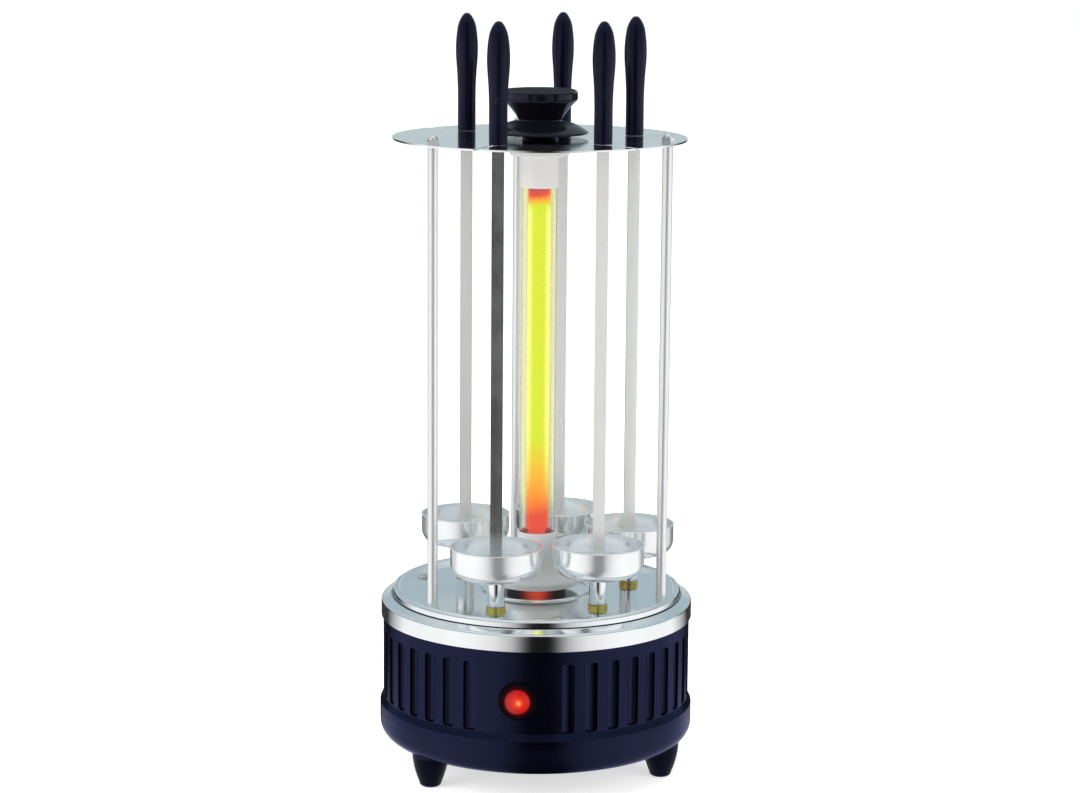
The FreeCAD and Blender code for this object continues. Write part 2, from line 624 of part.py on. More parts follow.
def heater():
    roof = "capRoof"
    collar = "bellBore + collarWall"
    pieces["upper_ceramic_cap"] = turned("upper_ceramic_cap", [
        ("bellBore", "collarFoot"), (collar + " - 0.6", "collarFoot"), (collar, "collarFoot + 0.6", "0.6"),
        (collar, roof + " - 1.2"), (collar + " + 1.2", roof, "-1.2"), ("capRadius - 1.2", roof),
        ("capRadius", roof + " + 1.2", "1.2"), ("capRadius", "topUnder - 0.6"),
        ("capRadius - 0.6", "topUnder", "0.6"), ("knobScrew + boltGap", "topUnder"),
        ("knobScrew + boltGap", roof), ("bellBore", roof)])
    pieces["quartz_tube"] = turned("quartz_tube", [
        ("tubeRadius - tubeWall", "tubeFoot"), ("tubeRadius", "tubeFoot"),
        ("tubeRadius", "tubeTop"), ("tubeRadius - tubeWall", "tubeTop")])
    pieces["heater_core"] = turned("heater_core", [
        ("0", "coreFoot"), ("coreRadius", "coreFoot"),
        ("coreRadius", "tubeTop - coreShort"), ("0", "tubeTop - coreShort")])
    pieces["heater_coil"] = turned("heater_coil", [
        ("coreRadius", "coreFoot + coilShort"), ("coreRadius + coilWire", "coreFoot + coilShort"),
        ("coreRadius + coilWire", "tubeTop - coilShort"), ("coreRadius", "tubeTop - coilShort")])
    foot = "plateUnder - leadTall"
    pieces["lower_ceramic_holder"] = turned("lower_ceramic_holder", [
        ("leadBore", foot), ("leadBoss", foot), ("leadBoss", "plateLevel"),
        ("baseRadius", "plateLevel"), ("baseRadius", "bellFoot"), ("tubeRadius", "bellFoot"),
        ("tubeRadius", "tubeFoot"), ("plugRadius", "tubeFoot"), ("plugRadius", "coreFoot"),
        ("leadBore", "coreFoot")])
    pieces["ceramic_bell"] = turned("ceramic_bell", [
        ("bellBore", "bellFoot"), ("bellRadius - 0.8", "bellFoot"), ("bellRadius", "bellFoot + 0.8", "0.8"),
        ("bellRadius", "bellFoot + bellRim - 1.6"), ("bellRadius - 1.6", "bellFoot + bellRim", "1.6"),
        ("bellRadius * 0.75", "bellFoot + bellRim + 0.8"),
        ("bellStem + 1", "bellFoot + bellTall * 0.5", "-bellTall * 0.5"),
        ("bellStem", "bellTop"), ("bellBore", "bellTop")])


# Gears: teeth with involute sides, each side an arc through three points of the involute.

def tooth_angle(radius, teeth):
    # half the tooth's angle at a radius
    pitch = num("gearModule") * teeth / 2
    base = pitch * math.cos(math.radians(num("pressureAngle")))
    thickness = math.pi * num("gearModule") / 2 - num("backlash") / 2
    involute = [math.tan(angle) - angle for angle in
                (math.radians(num("pressureAngle")), math.acos(min(base / radius, 1)))]
    return thickness / (2 * pitch) + involute[0] - involute[1]


def gear_face(teeth):
    module = num("gearModule")
    pitch = module * teeth / 2
    base = pitch * math.cos(math.radians(num("pressureAngle")))
    root = pitch - 1.25 * module
    tip = pitch + module
    foot = max(root, base)

    def spot(radius, angle):
        return FreeCAD.Vector(radius * math.sin(angle), -radius * math.cos(angle), 0)

    edges = []
    step = 2 * math.pi / teeth
    for index in range(teeth):
        middle = index * step
        low, waist, high = [tooth_angle(radius, teeth) for radius in (foot, (foot + tip) / 2, tip)]
        sides = {}
        for sign in (-1, 1):
            sides[sign] = [spot(foot, middle + sign * low), spot((foot + tip) / 2, middle + sign * waist),
                           spot(tip, middle + sign * high)]
        after = middle + step
        if root < base:
            edges.append(Part.LineSegment(spot(root, middle - low), sides[-1][0]).toShape())
        edges.append(Part.Arc(*sides[-1]).toShape())
        edges.append(Part.Arc(sides[-1][2], spot(tip, middle), sides[1][2]).toShape())
        edges.append(Part.Arc(*reversed(sides[1])).toShape())
        if root < base:
            edges.append(Part.LineSegment(sides[1][0], spot(root, middle + low)).toShape())
        edges.append(Part.Arc(spot(root, middle + low), spot(root, middle + step / 2),
                              spot(root, after - low)).toShape())
    return Part.Face(Part.Wire(edges))


def post(radius, low, high):
    return Part.makeCylinder(radius, high - low, FreeCAD.Vector(0, 0, low))


def central_gear():
    low = num("gearLevel")
    high = low + num("faceWide")
    gear = gear_face(int(num("sunTeeth"))).extrude(FreeCAD.Vector(0, 0, high - low))
    gear.translate(FreeCAD.Vector(0, 0, low))
    bore = num("hubShank + runningGap")
    hub = bore + num("gearHubWall")
    rim = num("gearModule * sunTeeth / 2 - 3.5 * gearModule")
    web = num("faceWide / 3")
    for start, end in ((low, low + web), (high - web, high)):
        gear = gear.cut(post(rim, start, end).cut(post(hub, start, end)))
    gear = gear.fuse(post(hub, num("deckLevel + thrustGap"), high + num("gearHubProud")))
    gear = gear.cut(post(bore, num("deckLevel"), high + 1))
    holes = int(num("webHoles"))
    for index in range(holes):
        angle = 2 * math.pi * (index + 0.5) / holes
        hole = post((rim - hub) * 0.36, low, high)
        hole.translate(FreeCAD.Vector(math.sin(angle), -math.cos(angle), 0) * ((rim + hub) / 2))
        gear = gear.cut(hole)
    solid_piece("central_gear", gear.removeSplitter())


def mesh_turn(azimuth, teeth):
    # the turn that lets a gear at this azimuth meet the central gear, tooth to gap
    pitch_turn = 360 / teeth
    sun_turn = 360 / num("sunTeeth")
    return azimuth + 180 + pitch_turn * (0.5 + azimuth / sun_turn)


def meshed_placement(radius, azimuth, teeth):
    angle = math.radians(azimuth)
    place = FreeCAD.Vector(radius * math.sin(angle), -radius * math.cos(angle), 0)
    return FreeCAD.Placement(place, FreeCAD.Rotation(FreeCAD.Vector(0, 0, 1), mesh_turn(azimuth, teeth)))


def pinion(label, azimuth):
    low = num("gearLevel - faceExtra")
    high = num("gearLevel + faceWide + faceExtra")
    teeth = int(num("pinionTeeth"))
    gear = gear_face(teeth).extrude(FreeCAD.Vector(0, 0, high - low))
    gear.translate(FreeCAD.Vector(0, 0, low))
    crown = high + num("pinionHubProud")
    gear = gear.fuse(post(num("shaftRadius") * 2, num("deckLevel + flangeTall + thrustGap"), crown))
    gear = gear.cut(post(num("shaftRadius"), num("deckLevel"), crown + 1))
    solid_piece(label, gear.removeSplitter(), meshed_placement(num("spindleCircle"), azimuth, teeth))


def drive_pinion():
    low = num("gearLevel - faceExtra")
    high = num("gearLevel + faceWide + faceExtra")
    teeth = int(num("driveTeeth"))
    gear = gear_face(teeth).extrude(FreeCAD.Vector(0, 0, high - low))
    gear.translate(FreeCAD.Vector(0, 0, low))
    gear = gear.fuse(post(num("driveShaft"), num("deckUnder - motorTall / 2"), high + num("pinionHubProud")))
    placement = meshed_placement(num("driveCircle"), num("driveAngle"), teeth)
    solid_piece("motor_pinion", gear.removeSplitter(), placement)


def central_hub():
    shank = "hubShank"
    pieces["central_hub"] = turned("central_hub", [
        ("leadBoss", "deckUnder - hubStep"), (shank, "deckUnder - hubStep"), (shank, "deckUnder"),
        ("hubSeat", "deckUnder"), ("hubSeat", "deckLevel"), (shank, "deckLevel"),
        (shank, "hubLipLevel"), (shank + " + hubLip", "hubLipLevel"),
        (shank + " + hubLip", "hubLipLevel + hubStep"), ("leadBoss", "hubLipLevel + hubStep")])


# Spindles, cups and skewers.

def bush(label, azimuth, level):
    bore = "shaftRadius + runningGap"
    foot, top = level + " - barrelTall", level + " + flangeTall"
    sleeve = turned(label, [
        (bore, foot), ("bushOuter", foot), ("bushOuter", level), ("bushFlange", level),
        ("bushFlange", top + " - 0.5"), ("bushFlange - 0.5", top), (bore, top)])
    put_round(sleeve, "spindleCircle", azimuth)
    return sleeve


def spindle(label, azimuth, turn):
    foot = "deckUnder - barrelTall - shaftReach"
    shaft = turned(label, [
        ("0", foot), ("shaftRadius - 0.6", foot), ("shaftRadius", foot + " + 0.6"),
        ("shaftRadius", "sleeveFoot"), ("sleeveRadius", "sleeveFoot"), ("sleeveRadius", "cupSeat"),
        ("neckRadius", "cupSeat"), ("neckRadius", "neckTop - 0.8"), ("neckRadius - 0.8", "neckTop"),
        ("0", "neckTop")])
    slot = sketch_on(shaft, "XY_Plane", label + "_slot", "neckTop")
    box_outline(slot, "-tangWide / 2 - slotGap", "-bladeThick / 2 - slotGap",
                "tangWide / 2 + slotGap", "bladeThick / 2 + slotGap")
    cut(shaft, slot, "slotDeep")
    put_round(shaft, "spindleCircle", azimuth, turn=turn)
    pieces[label] = shaft


def cup(label, azimuth):
    wall = "cupRadius - cupSheet"
    top = "cupSeat + cupTall"
    bowl = turned(label, [
        ("neckRadius + boltGap", "cupSeat"), ("cupRadius - cupCorner", "cupSeat"),
        ("cupRadius", "cupSeat + cupCorner", "cupCorner"), ("cupRadius", top + " - cupBead * 1.6"),
        ("cupRadius + cupBead", top + " - cupBead"), ("cupRadius", top, "cupBead"), (wall, top),
        (wall, "cupSeat + cupCorner"),
        ("cupRadius - cupCorner", "cupSeat + cupSheet", "cupSheet - cupCorner"),
        ("neckRadius + boltGap", "cupSeat + cupSheet")])
    put_round(bowl, "spindleCircle", azimuth)
    pieces[label] = bowl


def skewer(label, azimuth, turn):
    blade = new_body(label)
    sketch = sketch_on(blade, "XZ_Plane", label + "_blade")
    wide, tang, hidden = "bladeWide / 2", "tangWide / 2", "bladeWide / 2 - tangStep"
    shoulder = "topLevel + gripGap"
    right = [
        ("tangPoint", "slotFloor + slotGap * 2"), (tang, "slotFloor + 3"), (tang, "neckTop + 0.6"),
        (wide, "neckTop + 4"), (wide, shoulder), (hidden, shoulder), (hidden, shoulder + " + gripTang")]
    left = [("-(%s)" % x, z) for x, z in reversed(right)]
    outline(sketch, right + left)
    feature = blade.newObject("PartDesign::Pad", label + "_sheet")
    feature.Profile = sketch
    feature.setExpression("Length", bound("bladeThick"))
    feature.SideType = "Symmetric"
    doc.recompute()
    put_round(blade, "spindleCircle", azimuth, turn=turn)
    pieces[label] = blade


def grip(label, azimuth, turn):
    low = "topLevel + gripGap"
    tip = low + " + gripLong"
    # waist, belly and nose run into each other without a crease
    handle = turned(label, [
        ("0", low), ("gripFoot - 0.4", low), ("gripFoot", low + " + 0.4", "0.4"),
        ("gripWaist", low + " + gripLong * 0.28"),
        ("gripWaist + (gripBelly - gripWaist) * 0.71", low + " + gripLong * 0.577", "-gripLong * 3.3"),
        ("gripBelly", low + " + gripLong * 0.7", "gripLong * 1.37"),
        ("gripBelly * 0.84", low + " + gripLong * 0.88", "gripLong * 1.14"),
        ("gripBelly * 0.35", tip + " - gripBelly / 6", "gripBelly * 2.4"),
        ("0", tip, dome("gripBelly * 0.35", "gripBelly / 6"))])
    slot = sketch_on(handle, "XY_Plane", label + "_slot", low)
    hidden = "(bladeWide / 2 - tangStep)"
    box_outline(slot, "-" + hidden, "-bladeThick / 2", hidden, "bladeThick / 2")
    cut(handle, slot, "gripTang", True)
    put_round(handle, "spindleCircle", azimuth, turn=turn)
    pieces[label] = handle


def skewer_stations():
    bushes = []
    for index in range(5):
        number = index + 1
        azimuth = "spindleFirst + %d * spindleStep" % index
        turn = "bladeTurn + bladeStray" if index else "bladeTurn"
        spindle("spindle_%d" % number, azimuth, turn)
        pinion("pinion_%d" % number, num(azimuth))
        cup("cup_%d" % number, azimuth)
        skewer("skewer_%d" % number, azimuth, turn)
        grip("handle_%d" % number, azimuth, turn)
        bushes.append(bush("plate_bush_%d" % number, azimuth, "plateLevel"))
        bushes.append(bush("deck_bush_%d" % number, azimuth, "deckLevel"))
    set_group("spindle_bushes", bushes)


# Motor, switch and cord inlet.

def motor():
    top = "deckUnder"
    bore, floor = "driveShaft + runningGap", "deckUnder - motorTall / 2 - 1"
    case = turned("motor_case", [
        ("0", top + " - motorTall"), ("motorRadius - 1.5", top + " - motorTall"),
        ("motorRadius", top + " - motorTall + 1.5", "1.5"), ("motorRadius", top),
        ("motorBoss", top), ("motorBoss", "deckLevel + bossProud"), (bore, "deckLevel + bossProud"),
        (bore, floor), ("0", floor)])
    ears = sketch_on(case, "XY_Plane", "motor_ears", top + " - earSheet")
    for side in ("", "-"):
        half = "-earHalf" if side == "" else "earHalf"
        outline(ears, [
            (side + "(motorRadius - 4)", half), (side + "earReach", half),
            (side + "(earReach + earHalf)", "0", "earHalf"), (side + "earReach", "-(%s)" % half, "earHalf"),
            (side + "(motorRadius - 4)", "-(%s)" % half)])
        circle(ears, side + "earReach", "0", "earHole")
    pad(case, ears, "earSheet")
    put_round(case, "driveCircle", "driveAngle", turn="driveAngle")
    pieces["motor_case"] = case
    screws = []
    under, end = "deckUnder - earSheet", "deckLevel + earScrewProud"
    for index, side in enumerate(("", "-")):
        screw = turned("motor_screw_%d" % (index + 1), [
            ("0", under + " - earHead - 0.4"), ("earHole * 1.9", under + " - earHead"),
            ("earHole * 1.9", under), ("earHole - tubeGap", under), ("earHole - tubeGap", end), ("0", end)])
        put(screw, *ear_place(side))
        screws.append(screw)
    set_group("motor_screws", screws)


def face_front(body):
    # local Z points out of the front panel
    body.Placement = turned_place(FreeCAD.Vector(1, 0, 0), 90)
    body.setExpression("Placement.Base.y", bound("bezelSeat - bodyOuter"))
    body.setExpression("Placement.Base.z", bound("switchLevel"))


def switch():
    housing = turned("switch_body", [
        ("0", "-switchDeep"), ("casing", "-switchDeep"), ("casing", "-neckDeep"),
        ("switchNeck", "-neckDeep"), ("switchNeck", "0"), ("bezelRadius", "0"),
        ("bezelRadius", "bezelTall - 1.2"), ("bezelRadius - 1.2", "bezelTall", "1.2"),
        ("mouthRadius", "bezelTall"), ("mouthRadius", "-buttonStop"),
        ("chamberRadius", "-buttonStop"), ("chamberRadius", "-chamberDeep"),
        ("pocketRadius", "-chamberDeep"), ("pocketRadius", "pocketFloor - switchDeep"),
        ("0", "pocketFloor - switchDeep")])
    tabs = sketch_on(housing, "XY_Plane", "switch_tabs", "-switchDeep")
    box_outline(tabs, "-tabFirst - tabThick", "-tabHalf", "-tabFirst", "tabHalf")
    box_outline(tabs, "tabFirst", "-tabHalf", "tabFirst + tabThick", "tabHalf")
    pad(housing, tabs, "tabLong", True)
    face_front(housing)
    pieces["switch_body"] = housing
    proud = "bezelTall + buttonProud"
    shoulder = "-buttonStop - buttonGap"
    button = turned("button_cap", [
        ("0", "-neckDeep"), ("stemRadius", "-neckDeep"), ("stemRadius", "-skirtFoot"),
        ("buttonRadius + buttonLip", "-skirtFoot"), ("buttonRadius + buttonLip", shoulder),
        ("buttonRadius", shoulder), ("buttonRadius", proud + " - buttonCrown"),
        ("0", proud, dome("buttonRadius", "buttonCrown"))])
    face_front(button)
    pieces["button_cap"] = button
    wire = num("springWire")
    low = num("pocketFloor - switchDeep") + wire
    high = num("-skirtFoot") - wire
    radius = num("springRadius")
    helix = Part.makeHelix((high - low) / num("springTurns"), high - low, radius)
    helix.translate(FreeCAD.Vector(0, 0, low))
    section = Part.Wire(Part.Circle(FreeCAD.Vector(radius, 0, low), FreeCAD.Vector(0, 1, 0), wire).toShape())
    spring = Part.Wire(helix.Edges).makePipeShell([section], True, True)
    solid_piece("button_spring", spring)
    face_front(pieces["button_spring"])


def gland():
    hook, end = "glandNeck + glandHook", "-hookLevel - hookTall"
    body = turned("cord_gland", [
        ("glandBore", end), (hook, end), (hook, "-hookLevel"), ("glandNeck", "-hookLevel"),
        ("glandNeck", "0"), ("glandFlange", "0"), ("glandFlange", "glandTall - glandEdge"),
        ("glandFlange - glandEdge", "glandTall", "glandEdge"),
        ("glandBore + boreEdge", "glandTall"), ("glandBore", "glandTall - boreEdge")])
    body.Placement = turned_place(FreeCAD.Vector(1, 0, 0), -90)
    body.setExpression("Placement.Base.y", bound("bodyOuter + bezelSeat"))
    body.setExpression("Placement.Base.z", bound("glandLevel"))
    pieces["cord_gland"] = body


def check_and_write():
    doc.recompute()
    bad = [thing.Label for thing in doc.Objects if {"Invalid", "Error"} & set(thing.State)]
    for name, piece in pieces.items():
        if piece.Shape.isNull() or not piece.Shape.isValid():
            bad.append(name)
    if bad:
        raise RuntimeError("faulty pieces: " + ", ".join(bad))
    os.makedirs("parts", exist_ok=True)
    for name, piece in pieces.items():
        piece.Shape.exportStep("parts/%s.step" % name)
    print(len(pieces), "pieces written")


fill_sheet()
base_pan()
body_shell()
trim_ring()
drip_plate()
feet()
gear_deck()
deck_fasteners()
foot_screws()
rods()
top_plate()
knob()
heater()
central_gear()
central_hub()
drive_pinion()
skewer_stations()
motor()
switch()
gland()
check_and_write()
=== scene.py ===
import math
import bmesh
import bpy
from mathutils import Matrix, Vector


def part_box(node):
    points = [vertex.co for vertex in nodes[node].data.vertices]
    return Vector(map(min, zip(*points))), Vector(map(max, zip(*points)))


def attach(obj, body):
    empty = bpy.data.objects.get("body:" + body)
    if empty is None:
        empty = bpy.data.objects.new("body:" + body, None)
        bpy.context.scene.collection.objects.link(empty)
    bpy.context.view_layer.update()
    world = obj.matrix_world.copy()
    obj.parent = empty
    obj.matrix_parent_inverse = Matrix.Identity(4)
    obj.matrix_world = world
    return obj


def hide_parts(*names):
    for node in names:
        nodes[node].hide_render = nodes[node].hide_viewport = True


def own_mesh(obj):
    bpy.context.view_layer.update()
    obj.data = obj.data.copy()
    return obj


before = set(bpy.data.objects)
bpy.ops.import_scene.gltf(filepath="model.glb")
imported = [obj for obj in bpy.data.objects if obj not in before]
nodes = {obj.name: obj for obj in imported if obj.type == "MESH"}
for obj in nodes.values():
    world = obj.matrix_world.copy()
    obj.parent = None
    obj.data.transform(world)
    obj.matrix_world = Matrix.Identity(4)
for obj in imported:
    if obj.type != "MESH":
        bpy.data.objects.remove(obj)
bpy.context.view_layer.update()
scene = bpy.context.scene
print("frame loaded with", len(nodes), "nodes")


# small helpers for node trees

def addNode(tree, kind, **settings):
    node = tree.nodes.new(kind)
    for name, value in settings.items():
        setattr(node, name, value)
    return node


def feed(tree, value, socket):
    # value is a socket to link, or a plain number or colour
    if isinstance(value, bpy.types.NodeSocket):
        tree.links.new(value, socket)
    else:
        socket.default_value = value


def maths(tree, operation, first, second=0.0, third=0.0):
    node = addNode(tree, "ShaderNodeMath", operation=operation)
    feed(tree, first, node.inputs[0])
    feed(tree, second, node.inputs[1])
    feed(tree, third, node.inputs[2])
    return node.outputs[0]


def vectorMaths(tree, operation, first, second=(0, 0, 0)):
    node = addNode(tree, "ShaderNodeVectorMath", operation=operation)
    feed(tree, first, node.inputs[0])
    feed(tree, second, node.inputs[1])
    return node.outputs


def spread(tree, value, fromLow, fromHigh, toLow=0.0, toHigh=1.0):
    node = addNode(tree, "ShaderNodeMapRange")
    for socket, number in zip(node.inputs, (value, fromLow, fromHigh, toLow, toHigh)):
        feed(tree, number, socket)
    return node.outputs[0]


def mixNumber(tree, share, first, second):
    node = addNode(tree, "ShaderNodeMix", data_type="FLOAT")
    feed(tree, share, node.inputs[0])
    feed(tree, first, node.inputs[2])
    feed(tree, second, node.inputs[3])
    return node.outputs[0]


def mixColour(tree, share, first, second, blend="MIX"):
    node = addNode(tree, "ShaderNodeMix", data_type="RGBA", blend_type=blend)
    feed(tree, share, node.inputs["Factor"])
    feed(tree, first, node.inputs[6])
    feed(tree, second, node.inputs[7])
    return node.outputs[2]


def ramp(tree, value, stops):
    node = addNode(tree, "ShaderNodeValToRGB")
    feed(tree, value, node.inputs[0])
    points = node.color_ramp.elements
    while len(points) < len(stops):
        points.new(0.5)
    for point, (place, colour) in zip(points, stops):
        point.position = place
        point.color = colour
    return node.outputs[0]


def grey(level):
    return (level, level, level, 1)


def darker(colour, share):
    return tuple(channel * share for channel in colour[:3]) + (1,)


def noise(tree, vector, scale, detail=3.0, roughness=0.5):
    node = addNode(tree, "ShaderNodeTexNoise")
    feed(tree, vector, node.inputs["Vector"])
    feed(tree, scale, node.inputs["Scale"])
    node.inputs["Detail"].default_value = detail
    node.inputs["Roughness"].default_value = roughness
    return node.outputs["Fac"]


def uneven(tree, place, scale, detail, amount):
    # noise to either side of nought
    return maths(tree, "MULTIPLY_ADD", noise(tree, place, scale, detail), amount, -amount / 2)


def placeOnPiece(tree):
    # every piece keeps the frame's origin, so its own coordinates are the grill's
    return addNode(tree, "ShaderNodeTexCoord").outputs["Object"]


def split(tree, vector):
    node = addNode(tree, "ShaderNodeSeparateXYZ")
    feed(tree, vector, node.inputs[0])
    return node.outputs


def fromAxis(tree, x, y):
    # distance from the upright axis
    squares = maths(tree, "ADD", maths(tree, "MULTIPLY", x, x), maths(tree, "MULTIPLY", y, y))
    return maths(tree, "SQRT", squares)


def roundFromFront(tree, x, y):
    # angle round the upright axis, 0 at the button
    return maths(tree, "ARCTAN2", x, maths(tree, "MULTIPLY", y, -1.0))


def newGroup(name, inputs, outputs):
    # inputs are (name, kind, value), outputs are (name, kind)
    tree = bpy.data.node_groups.new(name, "ShaderNodeTree")
    for label, kind, value in inputs:
        socket = tree.interface.new_socket(label, in_out="INPUT", socket_type="NodeSocket" + kind)
        socket.default_value = value
    for label, kind in outputs:
        tree.interface.new_socket(label, in_out="OUTPUT", socket_type="NodeSocket" + kind)
    return tree, addNode(tree, "NodeGroupInput").outputs, addNode(tree, "NodeGroupOutput").inputs


def useGroup(tree, group, **values):
    node = addNode(tree, "ShaderNodeGroup", node_tree=group)
    for name, value in values.items():
        feed(tree, value, node.inputs[name])
    return node.outputs


# shared effects

turning = {"broad": 0.11}    # scale of the slow change of shade against that of the lines
rolling = {"broad": 0.13}


def buildTurnedLines(values):
    # fine rings round an upright axis, as spinning and buffing leave them
    tree, given, made = newGroup("turnedLines", [
        ("centre", "Vector", (0, 0, 0)), ("scale", "Float", 900.0), ("streak", "Float", 2.0)],
        [("height", "Float"), ("shade", "Float")])
    x, y, z = split(tree, vectorMaths(tree, "SUBTRACT", placeOnPiece(tree), given["centre"])[0])
    profile = maths(tree, "MULTIPLY", maths(tree, "ADD", fromAxis(tree, x, y), z), given["scale"])
    joined = addNode(tree, "ShaderNodeCombineXYZ")
    feed(tree, profile, joined.inputs[0])
    feed(tree, maths(tree, "MULTIPLY", maths(tree, "ARCTAN2", y, x), given["streak"]), joined.inputs[1])
    feed(tree, noise(tree, joined.outputs[0], 1.0, 2.0), made["height"])
    feed(tree, noise(tree, joined.outputs[0], values["broad"]), made["shade"])
    return tree


def buildDrawnLines(values):
    # long fine lines along one direction, as rolling and drawing leave them
    tree, given, made = newGroup("drawnLines", [
        ("stretch", "Vector", (900, 900, 12)), ("scale", "Float", 1.0)],
        [("height", "Float"), ("shade", "Float")])
    longer = vectorMaths(tree, "MULTIPLY", placeOnPiece(tree), given["stretch"])[0]
    feed(tree, noise(tree, longer, given["scale"], 2.0), made["height"])
    feed(tree, noise(tree, longer, values["broad"]), made["shade"])
    return tree


marks = {
    # how high the noise has to be for each mark, from none to full
    "smudgeFrom": (0.42, 0.68),
    "patchFrom": (0.5, 0.7),
    "scuffFrom": (0.5, 0.72),
    "finer": 14.0,        # scale of the scuffs against that of the patches
}


def buildHandling(values):
    # smudges from hands and thin wear in patches
    tree, given, made = newGroup("handling", [("scale", "Float", 22.0), ("amount", "Float", 0.5)],
                                 [("smudge", "Float"), ("wear", "Float")])
    place = placeOnPiece(tree)
    broad = noise(tree, place, given["scale"], 4.0, 0.6)
    fine = noise(tree, place, maths(tree, "MULTIPLY", given["scale"], values["finer"]), 5.0, 0.65)
    smudges = spread(tree, broad, *values["smudgeFrom"])
    feed(tree, maths(tree, "MULTIPLY", smudges, given["amount"]), made["smudge"])
    patches = spread(tree, broad, *values["patchFrom"])
    worn = maths(tree, "MULTIPLY", patches, spread(tree, fine, *values["scuffFrom"]))
    feed(tree, maths(tree, "MULTIPLY", worn, given["amount"]), made["wear"])
    return tree


specks = {"from": (0.62, 0.7)}    # how high the grain has to be for a speck


def buildSkin(values):
    # the small waviness of enamel, and the finer grain of a moulding or a fired clay
    tree, given, made = newGroup("skin", [
        ("wave", "Float", 260.0), ("grain", "Float", 2600.0), ("share", "Float", 0.5)],
        [("height", "Float"), ("speck", "Float")])
    place = placeOnPiece(tree)
    wave = noise(tree, place, given["wave"], 1.0)
    grain = noise(tree, place, given["grain"], 2.0)
    feed(tree, mixNumber(tree, given["share"], wave, grain), made["height"])
    feed(tree, spread(tree, grain, *values["from"]), made["speck"])
    return tree


tempering = {
    # what a warm surface turns to, from its cool side to its hot one
    "stops": ((0.0, (1, 1, 1, 1)), (0.35, (1, 0.9, 0.7, 1)), (0.6, (0.85, 0.6, 0.42, 1)),
              (0.8, (0.5, 0.45, 0.62, 1)), (1.0, (0.45, 0.5, 0.62, 1))),
    "hotTo": 0.2,         # share of the reach that is at its hottest
    "wobble": 0.4,        # how much the noise stretches the distance
    "wobbleLeast": 0.8,
    "wobbleScale": 60.0,
}


def buildHeatTint(values):
    # straw to blue colours where steel or clay sits near the heater
    tree, given, made = newGroup("heatTint", [("reach", "Float", 0.04), ("amount", "Float", 0.5)],
                                 [("colour", "Color"), ("mask", "Float")])
    place = placeOnPiece(tree)
    x, y = split(tree, place)[:2]
    rough = noise(tree, place, values["wobbleScale"], 2.0)
    wobble = maths(tree, "MULTIPLY_ADD", rough, values["wobble"], values["wobbleLeast"])
    away = maths(tree, "MULTIPLY", fromAxis(tree, x, y), wobble)
    near = spread(tree, maths(tree, "DIVIDE", away, given["reach"]), values["hotTo"], 1.0, 1.0, 0.0)
    feed(tree, ramp(tree, near, values["stops"]), made["colour"])
    feed(tree, maths(tree, "MULTIPLY", near, given["amount"]), made["mask"])
    return tree


panorama = {
    "facing": 9.5,        # degrees round from the button to the middle of the dark gap
    # brightness at so many degrees either side of it
    "front": ((0, 0.008), (6, 0.01), (9, 0.06), (12, 0.16), (15.5, 0.34), (19, 0.5), (24, 0.64), (32, 0.82),
              (45, 0.94), (57, 1.0), (106, 0.95), (120, 0.5), (134, 0.04), (155, 0.05)),
    "gapSide": (8, 22),      # degrees from it over which the sky above comes in
    "rear": (157, 166),      # degrees from it over which the grey behind comes in
    # height over distance, where each of these comes in
    "horizon": (0.02, 0.08),
    "skyTurn": (0.1, 0.24),
    "ceilingFrom": (0.5, 0.8),
    "skyLow": (0.52, 0.6, 0.62, 1),
    "skyHigh": (0.39, 0.49, 0.53, 1),
    "ceiling": (0.7, 0.75, 0.77, 1),
}


def buildPanorama(values):
    # what polished metal sees: a dark gap low in front, white walls at the sides, grey behind and above
    tree, given, made = newGroup("studioPanorama", [("direction", "Vector", (0, 0, 1))],
                                 [("colour", "Color")])
    x, y, z = split(tree, given["direction"])
    turn = maths(tree, "SUBTRACT", roundFromFront(tree, x, y), math.radians(values["facing"]))
    share = maths(tree, "DIVIDE", maths(tree, "ABSOLUTE", turn), math.pi)
    walls = ramp(tree, share, [(degrees / 180, grey(level)) for degrees, level in values["front"]])
    length = vectorMaths(tree, "LENGTH", given["direction"])["Value"]
    lift = maths(tree, "DIVIDE", z, length)
    sky = mixColour(tree, spread(tree, lift, *values["skyTurn"]), values["skyLow"], values["skyHigh"])
    aside = spread(tree, share, *[degrees / 180 for degrees in values["gapSide"]])
    raised = maths(tree, "MULTIPLY", spread(tree, lift, *values["horizon"]), aside)
    behind = spread(tree, share, *[degrees / 180 for degrees in values["rear"]])
    around = mixColour(tree, maths(tree, "MAXIMUM", behind, raised), walls, sky)
    over = spread(tree, lift, *values["ceilingFrom"])
    feed(tree, mixColour(tree, over, around, values["ceiling"]), made["colour"])
    return tree


seamShadeEdge = {"ragged": 0.0012, "raggedScale": 320.0}


def buildSeam(values):
    # painted shade, with some dirt, where two pressed parts meet, between two distances from the upright
    # axis
    tree, given, made = newGroup("seamPaintedShadeDirt", [
        ("inner", "Float", 0.09), ("outer", "Float", 0.1), ("soft", "Float", 0.001), ("top", "Float", 1.0)],
        [("mask", "Float")])
    place = placeOnPiece(tree)
    x, y, z = split(tree, place)
    ragged = uneven(tree, place, values["raggedScale"], 3.0, values["ragged"])
    radius = maths(tree, "ADD", fromAxis(tree, x, y), ragged)
    first = spread(tree, radius, maths(tree, "SUBTRACT", given["inner"], given["soft"]), given["inner"])
    last = spread(tree, radius, given["outer"], maths(tree, "ADD", given["outer"], given["soft"]), 1.0, 0.0)
    below = maths(tree, "LESS_THAN", z, given["top"])
    feed(tree, maths(tree, "MULTIPLY", maths(tree, "MULTIPLY", first, last), below), made["mask"])
    return tree


